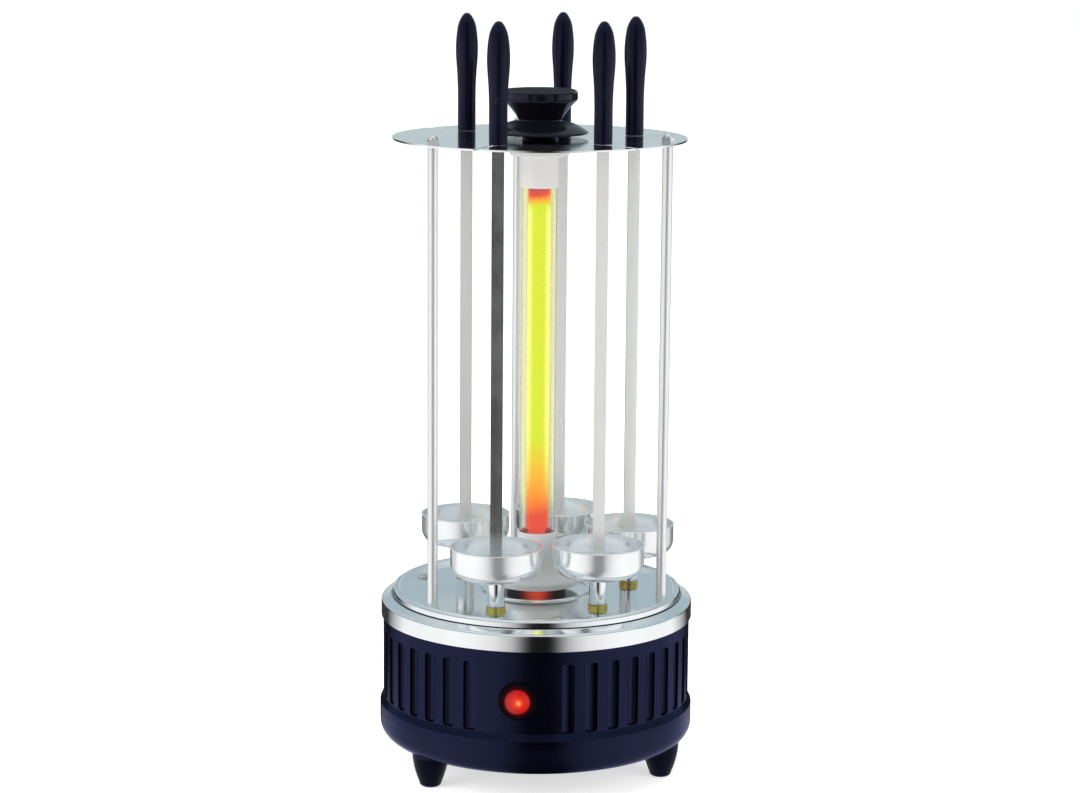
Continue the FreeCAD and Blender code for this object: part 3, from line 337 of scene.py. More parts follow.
flutes = {
    "radius": 0.1046,     # the drum's outside
    "first": 18.2,        # degrees from the button to the first flute's middle
    "step": 8.746,        # degrees from flute to flute
    "half": 0.0041,       # half a flute's width
    "deep": 0.0011,
    "foot": 0.0495,
    "head": 0.098,
    "shade": 0.82,
    "floorFrom": (0.0012, 0.0007),   # depths below the drum's outside where the hollow begins
    "shadeFrom": (0.0006, 0.0002),   # and where the painted shade does
    "shadeTurn": (14, 40),           # degrees from the button over which the shade grows
    "shadeLeast": 0.4,               # what it grows from
    "shadeAcross": (-0.3, 0.25),     # where it comes in across a flute, from -1 to 1
}


def fluteCount(tree, turn, values, way):
    # flutes counted from the first one on one side of the button
    degrees = maths(tree, "MULTIPLY", turn, way * 180 / math.pi)
    return maths(tree, "DIVIDE", maths(tree, "SUBTRACT", degrees, values["first"]), values["step"])


def buildFluteHollow(values):
    # the floor of each flute curves across its width, and its outer side gets painted shade
    tree, given, made = newGroup("fluteHollow", [("depth", "Float", 1.0)],
                                 [("height", "Float"), ("shade", "Float")])
    x, y, z = split(tree, placeOnPiece(tree))
    radius = fromAxis(tree, x, y)
    turn = roundFromFront(tree, x, y)
    right = maths(tree, "GREATER_THAN", x, 0.0)
    count = mixNumber(tree, right, fluteCount(tree, turn, values, -1), fluteCount(tree, turn, values, 1))
    off = maths(tree, "SUBTRACT", count, maths(tree, "ROUND", count))
    half = values["half"] / (values["radius"] * math.radians(values["step"]))
    across = maths(tree, "DIVIDE", off, half)
    share = maths(tree, "MINIMUM", maths(tree, "ABSOLUTE", across), 1.0)
    curve = maths(tree, "MULTIPLY", share, share)
    inside, sunk = (spread(tree, radius, *[values["radius"] - depth for depth in values[name]], 1.0, 0.0)
                    for name in ("floorFrom", "shadeFrom"))
    hollow = maths(tree, "MULTIPLY", maths(tree, "SUBTRACT", curve, 1.0), inside)
    feed(tree, maths(tree, "MULTIPLY", hollow, given["depth"]), made["height"])
    outer = spread(tree, across, *values["shadeAcross"])
    turned = spread(tree, maths(tree, "ABSOLUTE", turn),
                    *[math.radians(degrees) for degrees in values["shadeTurn"]], values["shadeLeast"])
    between = maths(tree, "MULTIPLY", maths(tree, "GREATER_THAN", z, values["foot"]),
                    maths(tree, "LESS_THAN", z, values["head"]))
    shaded = maths(tree, "MULTIPLY", sunk, outer)
    feed(tree, maths(tree, "MULTIPLY", shaded, maths(tree, "MULTIPLY", turned, between)), made["shade"])
    return tree


seamPaintedShadeDirt = buildSeam(seamShadeEdge)
fluteHollow = buildFluteHollow(flutes)
turnedLines = buildTurnedLines(turning)
drawnLines = buildDrawnLines(rolling)
handling = buildHandling(marks)
skin = buildSkin(specks)
heatTint = buildHeatTint(tempering)
studioPanorama = buildPanorama(panorama)
print("shared effects ready")


# camera, lamps, floor

camera = {
    "distance": 1.9205,
    "aside": 0.00145,
    "height": 0.6104,
    "azimuth": 6.4,
    "tilt": 10.464,
    "roll": 0.45,
    "lens": 96.24,
}


def placeCamera(values):
    data = bpy.data.cameras.new("studioCamera")
    data.lens = values["lens"]
    data.sensor_width = 36
    data.sensor_fit = "HORIZONTAL"
    data.clip_start = 0.05
    data.clip_end = 60
    eye = bpy.data.objects.new("studioCamera", data)
    scene.collection.objects.link(eye)
    eye.matrix_world = (Matrix.Rotation(math.radians(values["azimuth"]), 4, "Z")
                        @ Matrix.Translation((values["aside"], -values["distance"], values["height"]))
                        @ Matrix.Rotation(math.radians(90 - values["tilt"]), 4, "X")
                        @ Matrix.Rotation(math.radians(values["roll"]), 4, "Z"))
    scene.camera = eye


lamps = {
    # name: place, size, watts
    "leftBox": ((-1.5, -1.2, 1.1), 1.3, 24.0),
    "rightBox": ((1.6, -1.0, 0.9), 1.3, 14.0),
    "overhead": ((0.0, 0.3, 2.0), 1.6, 14.0),
}
studio = {
    "aim": (0, 0, 0.2),
    "ambient": 0.7,
    "floorRadius": 9.0,
    "floorColour": (0.8, 0.8, 0.8, 1),
    "floorLift": 0.62,
}


def placeLamps(values, aim):
    # they light the grill and stay out of its reflections
    for name, (place, size, watts) in values.items():
        data = bpy.data.lights.new(name, "AREA")
        data.shape = "SQUARE"
        data.size = size
        data.energy = watts
        lamp = bpy.data.objects.new(name, data)
        scene.collection.objects.link(lamp)
        lamp.location = place
        lamp.rotation_euler = (Vector(aim) - Vector(place)).to_track_quat("-Z", "Y").to_euler()
        lamp.visible_glossy = False
        lamp.visible_camera = False
        lamp.visible_transmission = False


def buildWorld(values):
    # white to the eye, soft grey light on matt faces, the panorama in polished ones
    world = bpy.data.worlds.new("studioWorld")
    scene.world = world
    world.use_nodes = True
    tree = world.node_tree
    tree.nodes.clear()
    rays = addNode(tree, "ShaderNodeLightPath").outputs
    direction = addNode(tree, "ShaderNodeTexCoord").outputs["Generated"]
    around = useGroup(tree, studioPanorama, direction=direction)["colour"]
    seen = maths(tree, "MAXIMUM", rays["Is Camera Ray"], rays["Is Transmission Ray"])
    plain = mixColour(tree, seen, grey(values["ambient"]), grey(1.0))
    back = addNode(tree, "ShaderNodeBackground")
    feed(tree, mixColour(tree, rays["Is Glossy Ray"], plain, around), back.inputs["Color"])
    out = addNode(tree, "ShaderNodeOutputWorld")
    feed(tree, back.outputs[0], out.inputs["Surface"])


def mixShader(tree, share, first, second):
    node = addNode(tree, "ShaderNodeMixShader")
    feed(tree, share, node.inputs[0])
    feed(tree, first, node.inputs[1])
    feed(tree, second, node.inputs[2])
    return node.outputs[0]


def buildFloor(values):
    mesh = bpy.data.meshes.new("floor")
    bm = bmesh.new()
    bmesh.ops.create_circle(bm, cap_ends=True, radius=values["floorRadius"], segments=128)
    bm.to_mesh(mesh)
    bm.free()
    floor = bpy.data.objects.new("floor", mesh)
    scene.collection.objects.link(floor)
    material = bpy.data.materials.new("paleFloor")
    material.use_nodes = True
    tree = material.node_tree
    tree.nodes.clear()
    rays = addNode(tree, "ShaderNodeLightPath").outputs
    matt = addNode(tree, "ShaderNodeBsdfDiffuse")
    matt.inputs["Color"].default_value = values["floorColour"]
    # to the eye it's lifted to the white of the background, with the grill's shade left on it
    glow = addNode(tree, "ShaderNodeEmission")
    glow.inputs["Strength"].default_value = values["floorLift"]
    lifted = addNode(tree, "ShaderNodeAddShader")
    feed(tree, matt.outputs[0], lifted.inputs[0])
    feed(tree, glow.outputs[0], lifted.inputs[1])
    lit = mixShader(tree, rays["Is Camera Ray"], matt.outputs[0], lifted.outputs[0])
    # polished metal sees the panorama in its place, and glass sees white
    around = useGroup(tree, studioPanorama, direction=placeOnPiece(tree))["colour"]
    shown = addNode(tree, "ShaderNodeEmission")
    feed(tree, mixColour(tree, rays["Is Transmission Ray"], around, grey(1.0)), shown.inputs["Color"])
    mirrored = maths(tree, "MAXIMUM", rays["Is Glossy Ray"], rays["Is Transmission Ray"])
    out = addNode(tree, "ShaderNodeOutputMaterial")
    feed(tree, mixShader(tree, mirrored, lit, shown.outputs[0]), out.inputs["Surface"])
    mesh.materials.append(material)


placeCamera(camera)
placeLamps(lamps, studio["aim"])
buildWorld(studio)
buildFloor(studio)
scene.view_settings.view_transform = "Standard"
print("studio ready")


# materials

def newMaterial(name, values, **more):
    # values hold colour and roughness, and metallic where it isn't nought
    material = bpy.data.materials.new(name)
    material.use_nodes = True
    shader = material.node_tree.nodes["Principled BSDF"]
    shader.inputs["Base Color"].default_value = values["colour"]
    shader.inputs["Roughness"].default_value = values["roughness"]
    shader.inputs["Metallic"].default_value = values.get("metallic", 0.0)
    for label, value in more.items():
        shader.inputs[label.replace("_", " ")].default_value = value
    return material, material.node_tree, shader


def bump(tree, shader, height, depth, strength=1.0):
    node = addNode(tree, "ShaderNodeBump")
    node.inputs["Strength"].default_value = strength
    node.inputs["Distance"].default_value = depth
    feed(tree, height, node.inputs["Height"])
    feed(tree, node.outputs[0], shader.inputs["Normal"])


def handled(tree, scale, values, level=None):
    # marks from hands, and the roughness with their smudges on it
    hands = useGroup(tree, handling, scale=scale, amount=1.0)
    level = values["roughness"] if level is None else level
    return hands, maths(tree, "MULTIPLY_ADD", hands["smudge"], values["smudge"], level)


def tinted(tree, share, strength, first, second):
    # the second colour over the first where share says, at a given strength
    return mixColour(tree, maths(tree, "MULTIPLY", share, strength), first, second)


def dress(material, *names):
    for name in names:
        nodes[name].data.materials.clear()
        nodes[name].data.materials.append(material)


def middle(name):
    low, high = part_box(name)
    return (low + high) / 2


def five(name):
    return ["%s_%d" % (name, number) for number in range(1, 6)]


enamel = {
    "colour": (0.0135, 0.0155, 0.044, 1),
    "metallic": 0.92,
    "roughness": 0.16,
    "edge": (0.6, 0.6, 0.8, 1),
    "peel": 0.02,         # its waviness against the depth of a flute
    "smudge": 0.08,
    "dust": 0.004,
    "dustColour": (0.3, 0.3, 0.34, 1),
}
panEnamel = {**enamel, "colour": (0.0125, 0.014, 0.042, 1), "roughness": 0.2, "metallic": 0.85}


def enamelPaint(name, values, fluted=False):
    # a navy lacquer with its colour in the gloss
    material, tree, shader = newMaterial(name, values, Specular_Tint=values["edge"])
    feed(tree, handled(tree, 18.0, values)[1], shader.inputs["Roughness"])
    peel = useGroup(tree, skin, wave=420.0, grain=3200.0, share=0.15)
    height = maths(tree, "MULTIPLY", peel["height"], values["peel"])
    colour = tinted(tree, peel["speck"], values["dust"], values["colour"], values["dustColour"])
    if fluted:
        hollow = useGroup(tree, fluteHollow, depth=1.0)
        height = maths(tree, "ADD", height, hollow["height"])
        # the outer side of each flute gets painted shade
        colour = tinted(tree, hollow["shade"], flutes["shade"], colour, (0, 0, 0.001, 1))
    bump(tree, shader, height, flutes["deep"])
    feed(tree, colour, shader.inputs["Base Color"])
    return material


polish = {
    "colour": (0.93, 0.95, 0.965, 1),
    "roughness": 0.07,
    "metallic": 1.0,
    "streaks": 0.05,
    "smudge": 0.07,
    "smudgeColour": (0.76, 0.77, 0.78, 1),
    "smudgeShare": 0.25,
    "lines": 0.0000015,   # depth of the buffing rings
    "scale": 1500.0,      # rings to the metre, roughly
    "heated": 0.0,        # strength of the colours that the heater brings
    "reach": 0.04,        # how far from the heater they go
    "creaseShadeColour": (0.07, 0.08, 0.1, 1),
    "creaseSoft": 0.0012,
}
ringPolish = {**polish, "roughness": 0.05}
platePolish = {**polish, "heated": 0.2}
topPolish = {**polish, "roughness": 0.06, "heated": 0.25, "reach": 0.06}
cupPolish = {**polish, "roughness": 0.08, "metallic": 0.76}
spindlePolish = {**polish, "roughness": 0.1}


def polishedSteel(name, values, centre=(0, 0, 0), crease=None):
    # crease is the painted shade, with some dirt, in the joint against the next piece: its two distances
    # from the axis and its top
    material, tree, shader = newMaterial(name, values)
    lines = useGroup(tree, turnedLines, centre=centre, scale=values["scale"], streak=1.5)
    hands, rough = handled(tree, 26.0, values)
    rough = maths(tree, "MULTIPLY_ADD", lines["shade"], values["streaks"], rough)
    feed(tree, rough, shader.inputs["Roughness"])
    colour = tinted(tree, hands["smudge"], values["smudgeShare"], values["colour"], values["smudgeColour"])
    if values["heated"]:
        warm = useGroup(tree, heatTint, reach=values["reach"], amount=values["heated"])
        colour = mixColour(tree, warm["mask"], colour, warm["colour"], "MULTIPLY")
    # painted shade, with some dirt, darkens the crease
    if crease:
        inner, outer, top = crease
        dark = useGroup(tree, seamPaintedShadeDirt, inner=inner, outer=outer, soft=values["creaseSoft"], top=top)
        colour = mixColour(tree, dark["mask"], colour, values["creaseShadeColour"])
    feed(tree, colour, shader.inputs["Base Color"])
    bump(tree, shader, lines["height"], values["lines"])
    return material


drawn = {
    "colour": (0.8, 0.81, 0.82, 1),
    "roughness": 0.3,
    "metallic": 1.0,
    "stretch": (1200.0, 20.0, 20.0),   # lines are long where this is small
    "streaks": 0.12,
    "smudge": 0.06,
    "streakShade": 0.82,
    "streakShare": 0.5,
    "lines": 0.000004,
}
bladeSteel = {**drawn, "colour": (0.97, 0.97, 0.95, 1), "roughness": 0.13, "metallic": 0.72,
              "stretch": (1500.0, 1500.0, 22.0)}
# a darker, duller copy of the blade steel for the first skewer, as painted shade
shadedBladeSteel = {**bladeSteel, "colour": (0.8, 0.82, 0.8, 1), "roughness": 0.2, "metallic": 1.0}
rodSteel = {**drawn, "colour": (0.96, 0.97, 0.98, 1), "roughness": 0.26, "metallic": 0.85,
            "stretch": (1300.0, 1300.0, 16.0)}


def drawnSteel(name, values):
    material, tree, shader = newMaterial(name, values)
    lines = useGroup(tree, drawnLines, stretch=values["stretch"])
    rough = maths(tree, "MULTIPLY_ADD", lines["shade"], values["streaks"], values["roughness"])
    feed(tree, handled(tree, 40.0, values, rough)[1], shader.inputs["Roughness"])
    streak = darker(values["colour"], values["streakShade"])
    colour = tinted(tree, lines["shade"], values["streakShare"], values["colour"], streak)
    feed(tree, colour, shader.inputs["Base Color"])
    bump(tree, shader, lines["height"], values["lines"])
    return material


zincPlate = {
    "colour": (0.72, 0.72, 0.7, 1),
    "roughness": 0.28,
    "metallic": 1.0,
    "smudge": 0.15,
    "worn": 0.6,          # brightness of the worn patches against the rest
    "grain": 0.00001,
}
nickelPlate = {**zincPlate, "colour": (0.93, 0.93, 0.93, 1), "roughness": 0.2}
motorCan = {**zincPlate, "colour": (0.55, 0.55, 0.54, 1), "roughness": 0.35}


def platedMetal(name, values):
    material, tree, shader = newMaterial(name, values)
    grain = useGroup(tree, skin, wave=1800.0, grain=9000.0, share=0.5)
    hands, rough = handled(tree, 120.0, values)
    feed(tree, rough, shader.inputs["Roughness"])
    worn = darker(values["colour"], values["worn"])
    feed(tree, mixColour(tree, hands["wear"], values["colour"], worn), shader.inputs["Base Color"])
    bump(tree, shader, grain["height"], values["grain"])
    return material


brass = {
    "colour": (0.78, 0.64, 0.16, 1),
    "dull": (0.5, 0.33, 0.12, 1),
    "roughness": 0.2,
    "metallic": 1.0,
    "streaks": 0.16,
    "lines": 0.000012,
}


def turnedBrass(values):
    material, tree, shader = newMaterial("turnedBrass", values)
    lines = useGroup(tree, drawnLines, stretch=(30.0, 30.0, 5200.0))
    hands = useGroup(tree, handling, scale=140.0, amount=1.0)
    colour = mixColour(tree, hands["smudge"], values["colour"], values["dull"])
    feed(tree, colour, shader.inputs["Base Color"])
    rough = maths(tree, "MULTIPLY_ADD", lines["shade"], values["streaks"], values["roughness"])
    feed(tree, rough, shader.inputs["Roughness"])
    bump(tree, shader, lines["height"], values["lines"])
    return material


gland = {
    "colour": (0.006, 0.006, 0.007, 1),
    "roughness": 0.45,
    "tint": (1, 1, 1, 1),
    "gloss": 0.5,
    "worn": (0.05, 0.05, 0.06, 1),
    "wornShare": 0.25,
    "smudge": 0.12,
    "grain": 0.000012,
}
gears = {**gland, "colour": (0.82, 0.8, 0.72, 1), "roughness": 0.42, "worn": (0.5, 0.48, 0.42, 1)}
grip = {**gland, "colour": (0.002, 0.002, 0.0045, 1), "roughness": 0.24, "tint": (0.4, 0.43, 0.95, 1),
        "gloss": 0.42, "grain": 0.00001}
foot = {**gland, "colour": (0.0016, 0.0016, 0.006, 1), "roughness": 0.4, "tint": (0.4, 0.4, 1.0, 1),
        "gloss": 0.1}
knob = {
    **gland,
    "colour": (0.0048, 0.0048, 0.0072, 1),
    "roughness": 0.14,
    "tint": (0.62, 0.62, 1.0, 1),
    "gloss": 0.38,
    "worn": (0.03, 0.03, 0.036, 1),
    "wornShare": 0.1,
    "smudge": 0.1,
    "grain": 0.000004,
    # its flat top is scuffed matt
    "topRoughness": 0.75,
    "topFrom": (0.9, 0.99),   # how far up a face looks where that comes in
}


def mouldedPlastic(name, values):
    material, tree, shader = newMaterial(name, values, Specular_Tint=values["tint"],
                                         Specular_IOR_Level=values["gloss"])
    surface = useGroup(tree, skin, wave=180.0, grain=5200.0, share=0.6)
    level = None
    if "topFrom" in values:
        upward = split(tree, addNode(tree, "ShaderNodeNewGeometry").outputs["Normal"])[2]
        level = spread(tree, upward, *values["topFrom"], values["roughness"], values["topRoughness"])
    hands, rough = handled(tree, 34.0, values, level)
    feed(tree, rough, shader.inputs["Roughness"])
    colour = tinted(tree, hands["wear"], values["wornShare"], values["colour"], values["worn"])
    feed(tree, colour, shader.inputs["Base Color"])
    bump(tree, shader, surface["height"], values["grain"])
    return material


def fromButton(tree, centre):
    # distance from the button's axis, which runs along Y
    away = vectorMaths(tree, "SUBTRACT", placeOnPiece(tree), centre)[0]
    flat = vectorMaths(tree, "MULTIPLY", away, (1, 0, 1))[0]
    return vectorMaths(tree, "LENGTH", flat)["Value"]


switch = {
    "colour": (0.0015, 0.0012, 0.0018, 1),
    "roughness": 0.3,
    "gloss": 0.06,
    "smudge": 0.1,
    "grain": 0.000008,
    "spill": (0.05, 0.0, 0.003, 1),
    "spillReach": 0.003,
}


def switchPlastic(values):
    # black, with painted red light from the lamp round the button
    material, tree, shader = newMaterial("switchPlastic", values, Specular_IOR_Level=values["gloss"],
                                         Emission_Strength=1.0)
    surface = useGroup(tree, skin, wave=300.0, grain=5200.0, share=0.6)
    bump(tree, shader, surface["height"], values["grain"])
    feed(tree, handled(tree, 60.0, values)[1], shader.inputs["Roughness"])
    low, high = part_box("button_cap")
    edge = (high.x - low.x) / 2
    near = spread(tree, fromButton(tree, (low + high) / 2), edge, edge + values["spillReach"], 1.0, 0.0)
    spill = maths(tree, "MULTIPLY", near, near)
    # painted red light round the button
    feed(tree, mixColour(tree, spill, (0, 0, 0, 1), values["spill"]), shader.inputs["Emission Color"])
    return material


whiteClay = {
    "colour": (0.88, 0.87, 0.85, 1),
    "speck": (0.74, 0.7, 0.64, 1),
    "speckShare": 0.5,
    "roughness": 0.4,
    "heated": 0.1,
    "reach": 0.03,
    "grain": 0.00004,
}
bellClay = {**whiteClay, "colour": (0.74, 0.77, 0.76, 1), "speck": (0.56, 0.56, 0.53, 1),
            "roughness": 0.36, "heated": 0.12}


def firedClay(name, values):
    material, tree, shader = newMaterial(name, values, Subsurface_Weight=0.08, Subsurface_Scale=0.003)
    surface = useGroup(tree, skin, wave=700.0, grain=4200.0, share=0.7)
    speckled = tinted(tree, surface["speck"], values["speckShare"], values["colour"], values["speck"])
    warm = useGroup(tree, heatTint, reach=values["reach"], amount=values["heated"])
    colour = mixColour(tree, warm["mask"], speckled, warm["colour"], "MULTIPLY")
    feed(tree, colour, shader.inputs["Base Color"])
    bump(tree, shader, surface["height"], values["grain"])
    return material


holder = {
    "colour": (0.74, 0.75, 0.73, 1),
    "roughness": 0.5,
    "grain": 0.00004,
    "guardShadow": (0.012, 0.012, 0.02, 1),
    "guardShadowFrom": (-0.0012, 0.0004),   # heights beside the guard's foot over which the painted shadow ends
    "glow": (0.9, 0.09, 0.04, 1),
    "glowStrength": 0.9,
    "glowNarrow": 14.0,
}


def paintedShadeGlowSocket(values):
    # the clay under the tube: painted shadow below the guard, with a painted red glow of the heater where
    # it's seen square on
    material, tree, shader = newMaterial("socketClayPaintedShadeGlow", values, Emission_Strength=values["glowStrength"])
    surface = useGroup(tree, skin, wave=700.0, grain=4200.0, share=0.7)
    bump(tree, shader, surface["height"], values["grain"])
    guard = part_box("ceramic_bell")[0].z
    z = split(tree, placeOnPiece(tree))[2]
    below = spread(tree, z, *[guard + step for step in values["guardShadowFrom"]], 1.0, 0.0)
    # painted shadow below the guard
    feed(tree, mixColour(tree, below, values["colour"], values["guardShadow"]), shader.inputs["Base Color"])
    # painted red glow of the heater, strongest where the clay is seen square on
    facing = maths(tree, "SUBTRACT", 1.0, addNode(tree, "ShaderNodeLayerWeight").outputs["Facing"])
    glow = maths(tree, "MULTIPLY", maths(tree, "POWER", facing, values["glowNarrow"]), below)
    feed(tree, mixColour(tree, glow, (0, 0, 0, 1), values["glow"]), shader.inputs["Emission Color"])
    return material


quartz = {
    "colour": (1.0, 1.0, 0.72, 1),
    "clearFoot": (0.97, 0.98, 0.98, 1),
    "lit": (0.165, 0.185),    # heights over which the clear foot ends and the painted glow tint begins
    "roughness": 0.2,
    "ior": 1.2,
    "smudge": 0.05,
    "streaks": 0.00003,
    "streakStrength": 0.4,
}


def quartzGlass(values):
    # clear at its foot, and tinted yellowish beside the glow as painted light of the heater
    material, tree, shader = newMaterial("quartzGlass", values, Transmission_Weight=1.0, IOR=values["ior"])
    streaks = useGroup(tree, drawnLines, stretch=(260.0, 260.0, 3.0))
    bump(tree, shader, streaks["height"], values["streaks"], values["streakStrength"])
    feed(tree, handled(tree, 30.0, values)[1], shader.inputs["Roughness"])
    lit = spread(tree, split(tree, placeOnPiece(tree))[2], *values["lit"])
    # painted glow: yellow tint over the lit length, clear at the foot
    feed(tree, mixColour(tree, lit, values["clearFoot"], values["colour"]), shader.inputs["Base Color"])
    return material


core = {
    "colour": (0.1, 0.06, 0.04, 1),
    "roughness": 0.6,
    "low": 0.162,         # heights of the glow's foot and head
    "high": 0.405,
    "strength": 1.0,
    "edge": (0.7, 0.08, 0.06, 1),
    "warm": (1.0, 0.36, 0.06, 1),
    "bright": (0.72, 0.84, 0.08, 1),
    "topEnd": (0.3, 0.05, 0.2, 1),
    # where each colour lies from foot to head
    "along": ((0.0, "edge"), (0.05, "edge"), (0.13, "warm"), (0.27, "bright"), (0.91, "bright"),
              (0.935, "warm"), (0.95, "edge"), (1.0, "topEnd")),
    "uneven": 0.05,
    "paleSide": (1.0, 1.0, 0.34, 1),
    "paleFrom": (0.82, 0.55),    # how squarely it's seen where the sides start to pale
    "paleAlong": ((0.1, 0.0), (0.3, 1.0), (0.9, 1.0), (0.93, 0.0)),
    "grain": 0.00003,
}
wireGlow = {**core, "edge": (0.8, 0.08, 0.05, 1), "bright": (0.6, 0.77, 0.035, 1)}


def glowing(name, values):
    # red at the cooler ends, yellow along the middle, paler towards the rod's sides
    material, tree, shader = newMaterial(name, values, Emission_Strength=values["strength"])
    place = placeOnPiece(tree)
    share = spread(tree, split(tree, place)[2], values["low"], values["high"])
    shifted = maths(tree, "ADD", share, uneven(tree, place, 45.0, 1.0, values["uneven"]))
    along = ramp(tree, shifted, [(level, values[shade]) for level, shade in values["along"]])
    lit = ramp(tree, share, [(level, grey(light)) for level, light in values["paleAlong"]])
    radial = vectorMaths(tree, "MULTIPLY", place, (1, 1, 0))[0]
    outward = vectorMaths(tree, "NORMALIZE", radial)[0]
    incoming = addNode(tree, "ShaderNodeNewGeometry").outputs["Incoming"]
    facing = vectorMaths(tree, "DOT_PRODUCT", outward, incoming)["Value"]
    pale = spread(tree, facing, *values["paleFrom"])
    feed(tree, mixColour(tree, maths(tree, "MULTIPLY", pale, lit), along, values["paleSide"]),
         shader.inputs["Emission Color"])
    grain = useGroup(tree, skin, wave=900.0, grain=6000.0, share=0.4)
    bump(tree, shader, grain["height"], values["grain"])
    return material


lens = {
    "colour": (0.16, 0.004, 0.004, 1),
    "roughness": 0.12,
    "gloss": 0.3,
    "strength": 0.9,
    "spotAside": 0.0012,
    "spread": 0.0088,
    "uneven": 0.16,
    "grain": 0.00001,
    # from the lamp's spot outwards
    "glow": ((0.0, (1.0, 0.72, 0.3, 1)), (0.1, (1.0, 0.32, 0.09, 1)), (0.26, (0.8, 0.045, 0.012, 1)),
             (0.55, (0.5, 0.016, 0.005, 1)), (0.8, (0.36, 0.008, 0.004, 1)), (1.0, (0.1, 0.002, 0.002, 1))),
}


def litRedPlastic(values):
    material, tree, shader = newMaterial("litRedPlastic", values, Emission_Strength=values["strength"],
                                         Specular_IOR_Level=values["gloss"], Coat_Weight=0.06,
                                         Coat_Roughness=0.1)
    spot = middle("button_cap") + Vector((values["spotAside"], 0, 0))
    share = maths(tree, "DIVIDE", fromButton(tree, spot), values["spread"])
    shifted = maths(tree, "ADD", share, uneven(tree, placeOnPiece(tree), 900.0, 2.0, values["uneven"]))
    feed(tree, ramp(tree, shifted, values["glow"]), shader.inputs["Emission Color"])
    surface = useGroup(tree, skin, wave=500.0, grain=4000.0, share=0.3)
    bump(tree, shader, surface["height"], values["grain"])
    return material


# painted shade, with some dirt, in the joint between the drip plate and the ring round it
joint = {
    "ringFrom": 0.06,     # distance from the axis where it may start on the ring
    "ringPast": 0.0002,   # how far it runs out past the plate's rim
    "plateIn": 0.0008,    # and in from it
    "plateTo": 0.2,
    "above": 0.0006,      # how far it climbs over the ring
}


def dressEverything():
    dress(enamelPaint("navyEnamel", enamel, True), "body_shell")
    dress(enamelPaint("panEnamel", panEnamel), "base_pan")
    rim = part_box("drip_plate")[1].x
    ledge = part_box("trim_ring")[1].z
    onRing = (joint["ringFrom"], rim + joint["ringPast"], 1.0)
    dress(polishedSteel("ringPolish", ringPolish, crease=onRing), "trim_ring")
    onPlate = (rim - joint["plateIn"], joint["plateTo"], ledge + joint["above"])
    dress(polishedSteel("platePolish", platePolish, crease=onPlate), "drip_plate")
    dress(polishedSteel("topPolish", topPolish), "top_plate")
    for number in range(1, 6):
        axis = middle("cup_%d" % number)
        dress(polishedSteel("cupPolish%d" % number, cupPolish, axis), "cup_%d" % number)
        dress(polishedSteel("spindlePolish%d" % number, spindlePolish, axis), "spindle_%d" % number)
    dress(drawnSteel("bladeSteel", bladeSteel), *five("skewer")[1:])
    dress(drawnSteel("shadedBladeSteel", shadedBladeSteel), "skewer_1")
    dress(drawnSteel("rodSteel", rodSteel), "rod_1", "rod_2", "rod_3")
    dress(drawnSteel("deckSteel", drawn), "gear_plate", "deck_pillars", "central_hub", "button_spring")
    dress(platedMetal("zincPlate", zincPlate), "deck_screws", "foot_screws", "rod_lower_nuts", "knob_screw",
          "motor_screws")
    dress(platedMetal("nickelPlate", nickelPlate), "rod_cap_nuts")
    dress(platedMetal("motorCan", motorCan), "motor_case")
    dress(turnedBrass(brass), "spindle_bushes")
    dress(mouldedPlastic("gripPlastic", grip), *five("handle"))
    dress(mouldedPlastic("knobPlastic", knob), "carry_knob")
    dress(mouldedPlastic("footPlastic", foot), "foot_1", "foot_2", "foot_3")
    dress(switchPlastic(switch), "switch_body")
    dress(mouldedPlastic("glandPlastic", gland), "cord_gland")
    dress(mouldedPlastic("gearPlastic", gears), "central_gear", "motor_pinion", *five("pinion"))
    dress(firedClay("whiteClay", whiteClay), "upper_ceramic_cap")
    dress(firedClay("bellClay", bellClay), "ceramic_bell")
    dress(paintedShadeGlowSocket(holder), "lower_ceramic_holder")
    dress(quartzGlass(quartz), "quartz_tube")
    dress(litRedPlastic(lens), "button_cap")
    dress(glowing("glowingCore", core), "heater_core")


dressEverything()
print("materials assigned")


# the heater's wire: a close helix that stands for the plain sleeve

winding = {"wire": 0.00045, "pitch": 0.0013, "around": 28, "section": 6}


def windWire(values):
    low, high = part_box("heater_coil")
    thick = values["wire"]
    radius = (high.x - low.x) / 2 - thick
    turns = (high.z - low.z - 2 * thick) / values["pitch"]
    steps = int(turns * values["around"])
    section = values["section"]
    bm = bmesh.new()
    rings = []
    for step in range(steps + 1):
        angle = 2 * math.pi * step / values["around"]
        place = Vector((radius * math.cos(angle), radius * math.sin(angle),
                        low.z + thick + values["pitch"] * step / values["around"]))
        outward = Vector((math.cos(angle), math.sin(angle), 0))
        ring = []
        for part in range(section):
            spin = 2 * math.pi * part / section
            offset = outward * math.cos(spin) + Vector((0, 0, 1)) * math.sin(spin)
            ring.append(bm.verts.new(place + offset * thick))
        rings.append(ring)
    for before, after in zip(rings, rings[1:]):
        for part in range(section):
            beside = (part + 1) % section
            bm.faces.new((before[part], before[beside], after[beside], after[part]))
    bm.faces.new(rings[0])
    bm.faces.new(list(reversed(rings[-1])))
    bmesh.ops.recalc_face_normals(bm, faces=bm.faces[:])
    mesh = bpy.data.meshes.new("heatingWire")
    bm.to_mesh(mesh)
    bm.free()
    for face in mesh.polygons:
        face.use_smooth = True
    wire = bpy.data.objects.new("heatingWire", mesh)
    scene.collection.objects.link(wire)
    mesh.materials.append(glowing("glowingWire", wireGlow))
    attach(wire, "base")
    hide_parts("heater_coil")


windWire(winding)
print("heater wire wound")


# cross recesses in the screw heads

recess = {
    "arm": 0.0023,        # half the cross's width at the top of the head
    "foot": 0.0011,       # and at its floor
    "half": 0.00055,      # half a bar's width
    "deep": 0.0016,
    "over": 0.0004,       # how far the cutter stands above the head
    "weld": 0.000002,
    "sharp": 35,          # degrees between faces that make an edge
}


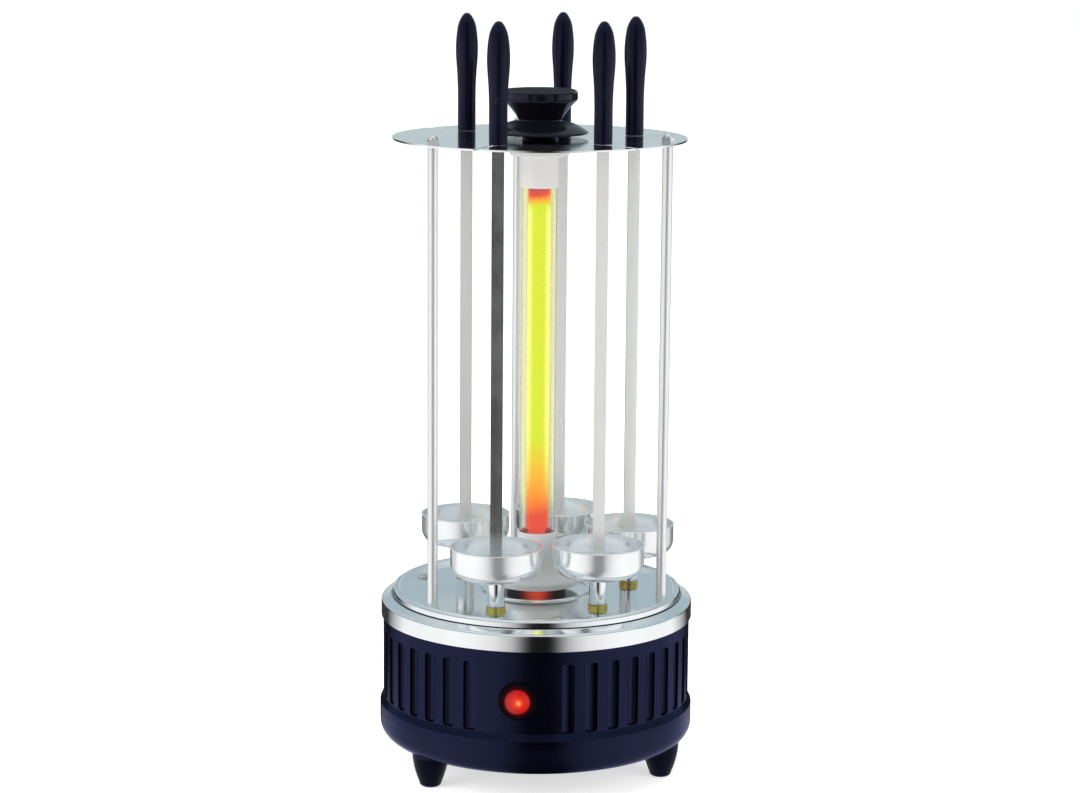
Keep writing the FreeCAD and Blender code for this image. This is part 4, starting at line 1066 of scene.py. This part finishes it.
def crossCutter(bm, place, facing, values):
    # two tapering bars crossed at the head's centre; facing is 1 for a head that looks up, -1 for down
    for turn in (0.0, math.pi / 2):
        along = Vector((math.cos(turn), math.sin(turn), 0))
        across = Vector((-along.y, along.x, 0))
        rings = []
        for level, arm in ((values["over"], values["arm"]), (-values["deep"], values["foot"])):
            centre = place + Vector((0, 0, level * facing))
            rings.append([bm.verts.new(centre + along * arm * a + across * values["half"] * b)
                          for a, b in ((1, 1), (-1, 1), (-1, -1), (1, -1))])
        above, below = rings
        bm.faces.new(above)
        bm.faces.new(list(reversed(below)))
        for corner in range(4):
            after = (corner + 1) % 4
            bm.faces.new((above[corner], below[corner], below[after], above[after]))


def headCentres(mesh, facing):
    # one point on top of each separate screw, in the order of the mesh
    bm = bmesh.new()
    bm.from_mesh(mesh)
    done = set()
    found = []
    for start in bm.verts:
        if start in done:
            continue
        group = {start}
        edge = {start}
        while edge:
            edge = {joined.other_vert(vert) for vert in edge for joined in vert.link_edges} - group
            group |= edge
        done |= group
        xs = [vert.co.x for vert in group]
        ys = [vert.co.y for vert in group]
        level = max(vert.co.z * facing for vert in group) * facing
        found.append(Vector(((max(xs) + min(xs)) / 2, (max(ys) + min(ys)) / 2, level)))
    bm.free()
    return found


def crossHeads(name, facing, values):
    source = nodes[name]
    mesh = source.data.copy()
    bm = bmesh.new()
    bm.from_mesh(mesh)
    bmesh.ops.remove_doubles(bm, verts=bm.verts[:], dist=values["weld"])
    bm.to_mesh(mesh)
    bm.free()
    screws = bpy.data.objects.new(name + "Crossed", mesh)
    scene.collection.objects.link(screws)
    screws.matrix_world = source.matrix_world
    bm = bmesh.new()
    for place in headCentres(mesh, facing):
        crossCutter(bm, place, facing, values)
    bmesh.ops.recalc_face_normals(bm, faces=bm.faces[:])
    cutterMesh = bpy.data.meshes.new("crossCutter")
    bm.to_mesh(cutterMesh)
    bm.free()
    cutter = bpy.data.objects.new("crossCutter", cutterMesh)
    scene.collection.objects.link(cutter)
    cutter.matrix_world = source.matrix_world
    taking = screws.modifiers.new("cross", "BOOLEAN")
    taking.object = cutter
    taking.operation = "DIFFERENCE"
    taking.solver = "EXACT"
    taking.use_self = True
    made = bpy.data.meshes.new_from_object(screws.evaluated_get(bpy.context.evaluated_depsgraph_get()))
    screws.modifiers.clear()
    screws.data = made
    bpy.data.objects.remove(cutter)
    for face in made.polygons:
        face.use_smooth = True
    made.set_sharp_from_angle(angle=math.radians(values["sharp"]))
    print(name, "crossed:", len(mesh.polygons), "faces before,", len(made.polygons), "after")
    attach(screws, "base")
    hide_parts(name)


crossHeads("deck_screws", 1, recess)
crossHeads("foot_screws", -1, recess)
print("screw heads cut")


# the return spring: a copy with its own mesh, attached to the base in place of the original


def squashSpring():
    source = nodes["button_spring"]
    spring = bpy.data.objects.new("returnSpring", source.data.copy())
    scene.collection.objects.link(spring)
    spring.matrix_world = source.matrix_world
    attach(spring, "base")
    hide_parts("button_spring")
    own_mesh(spring)


squashSpring()
print("spring made")
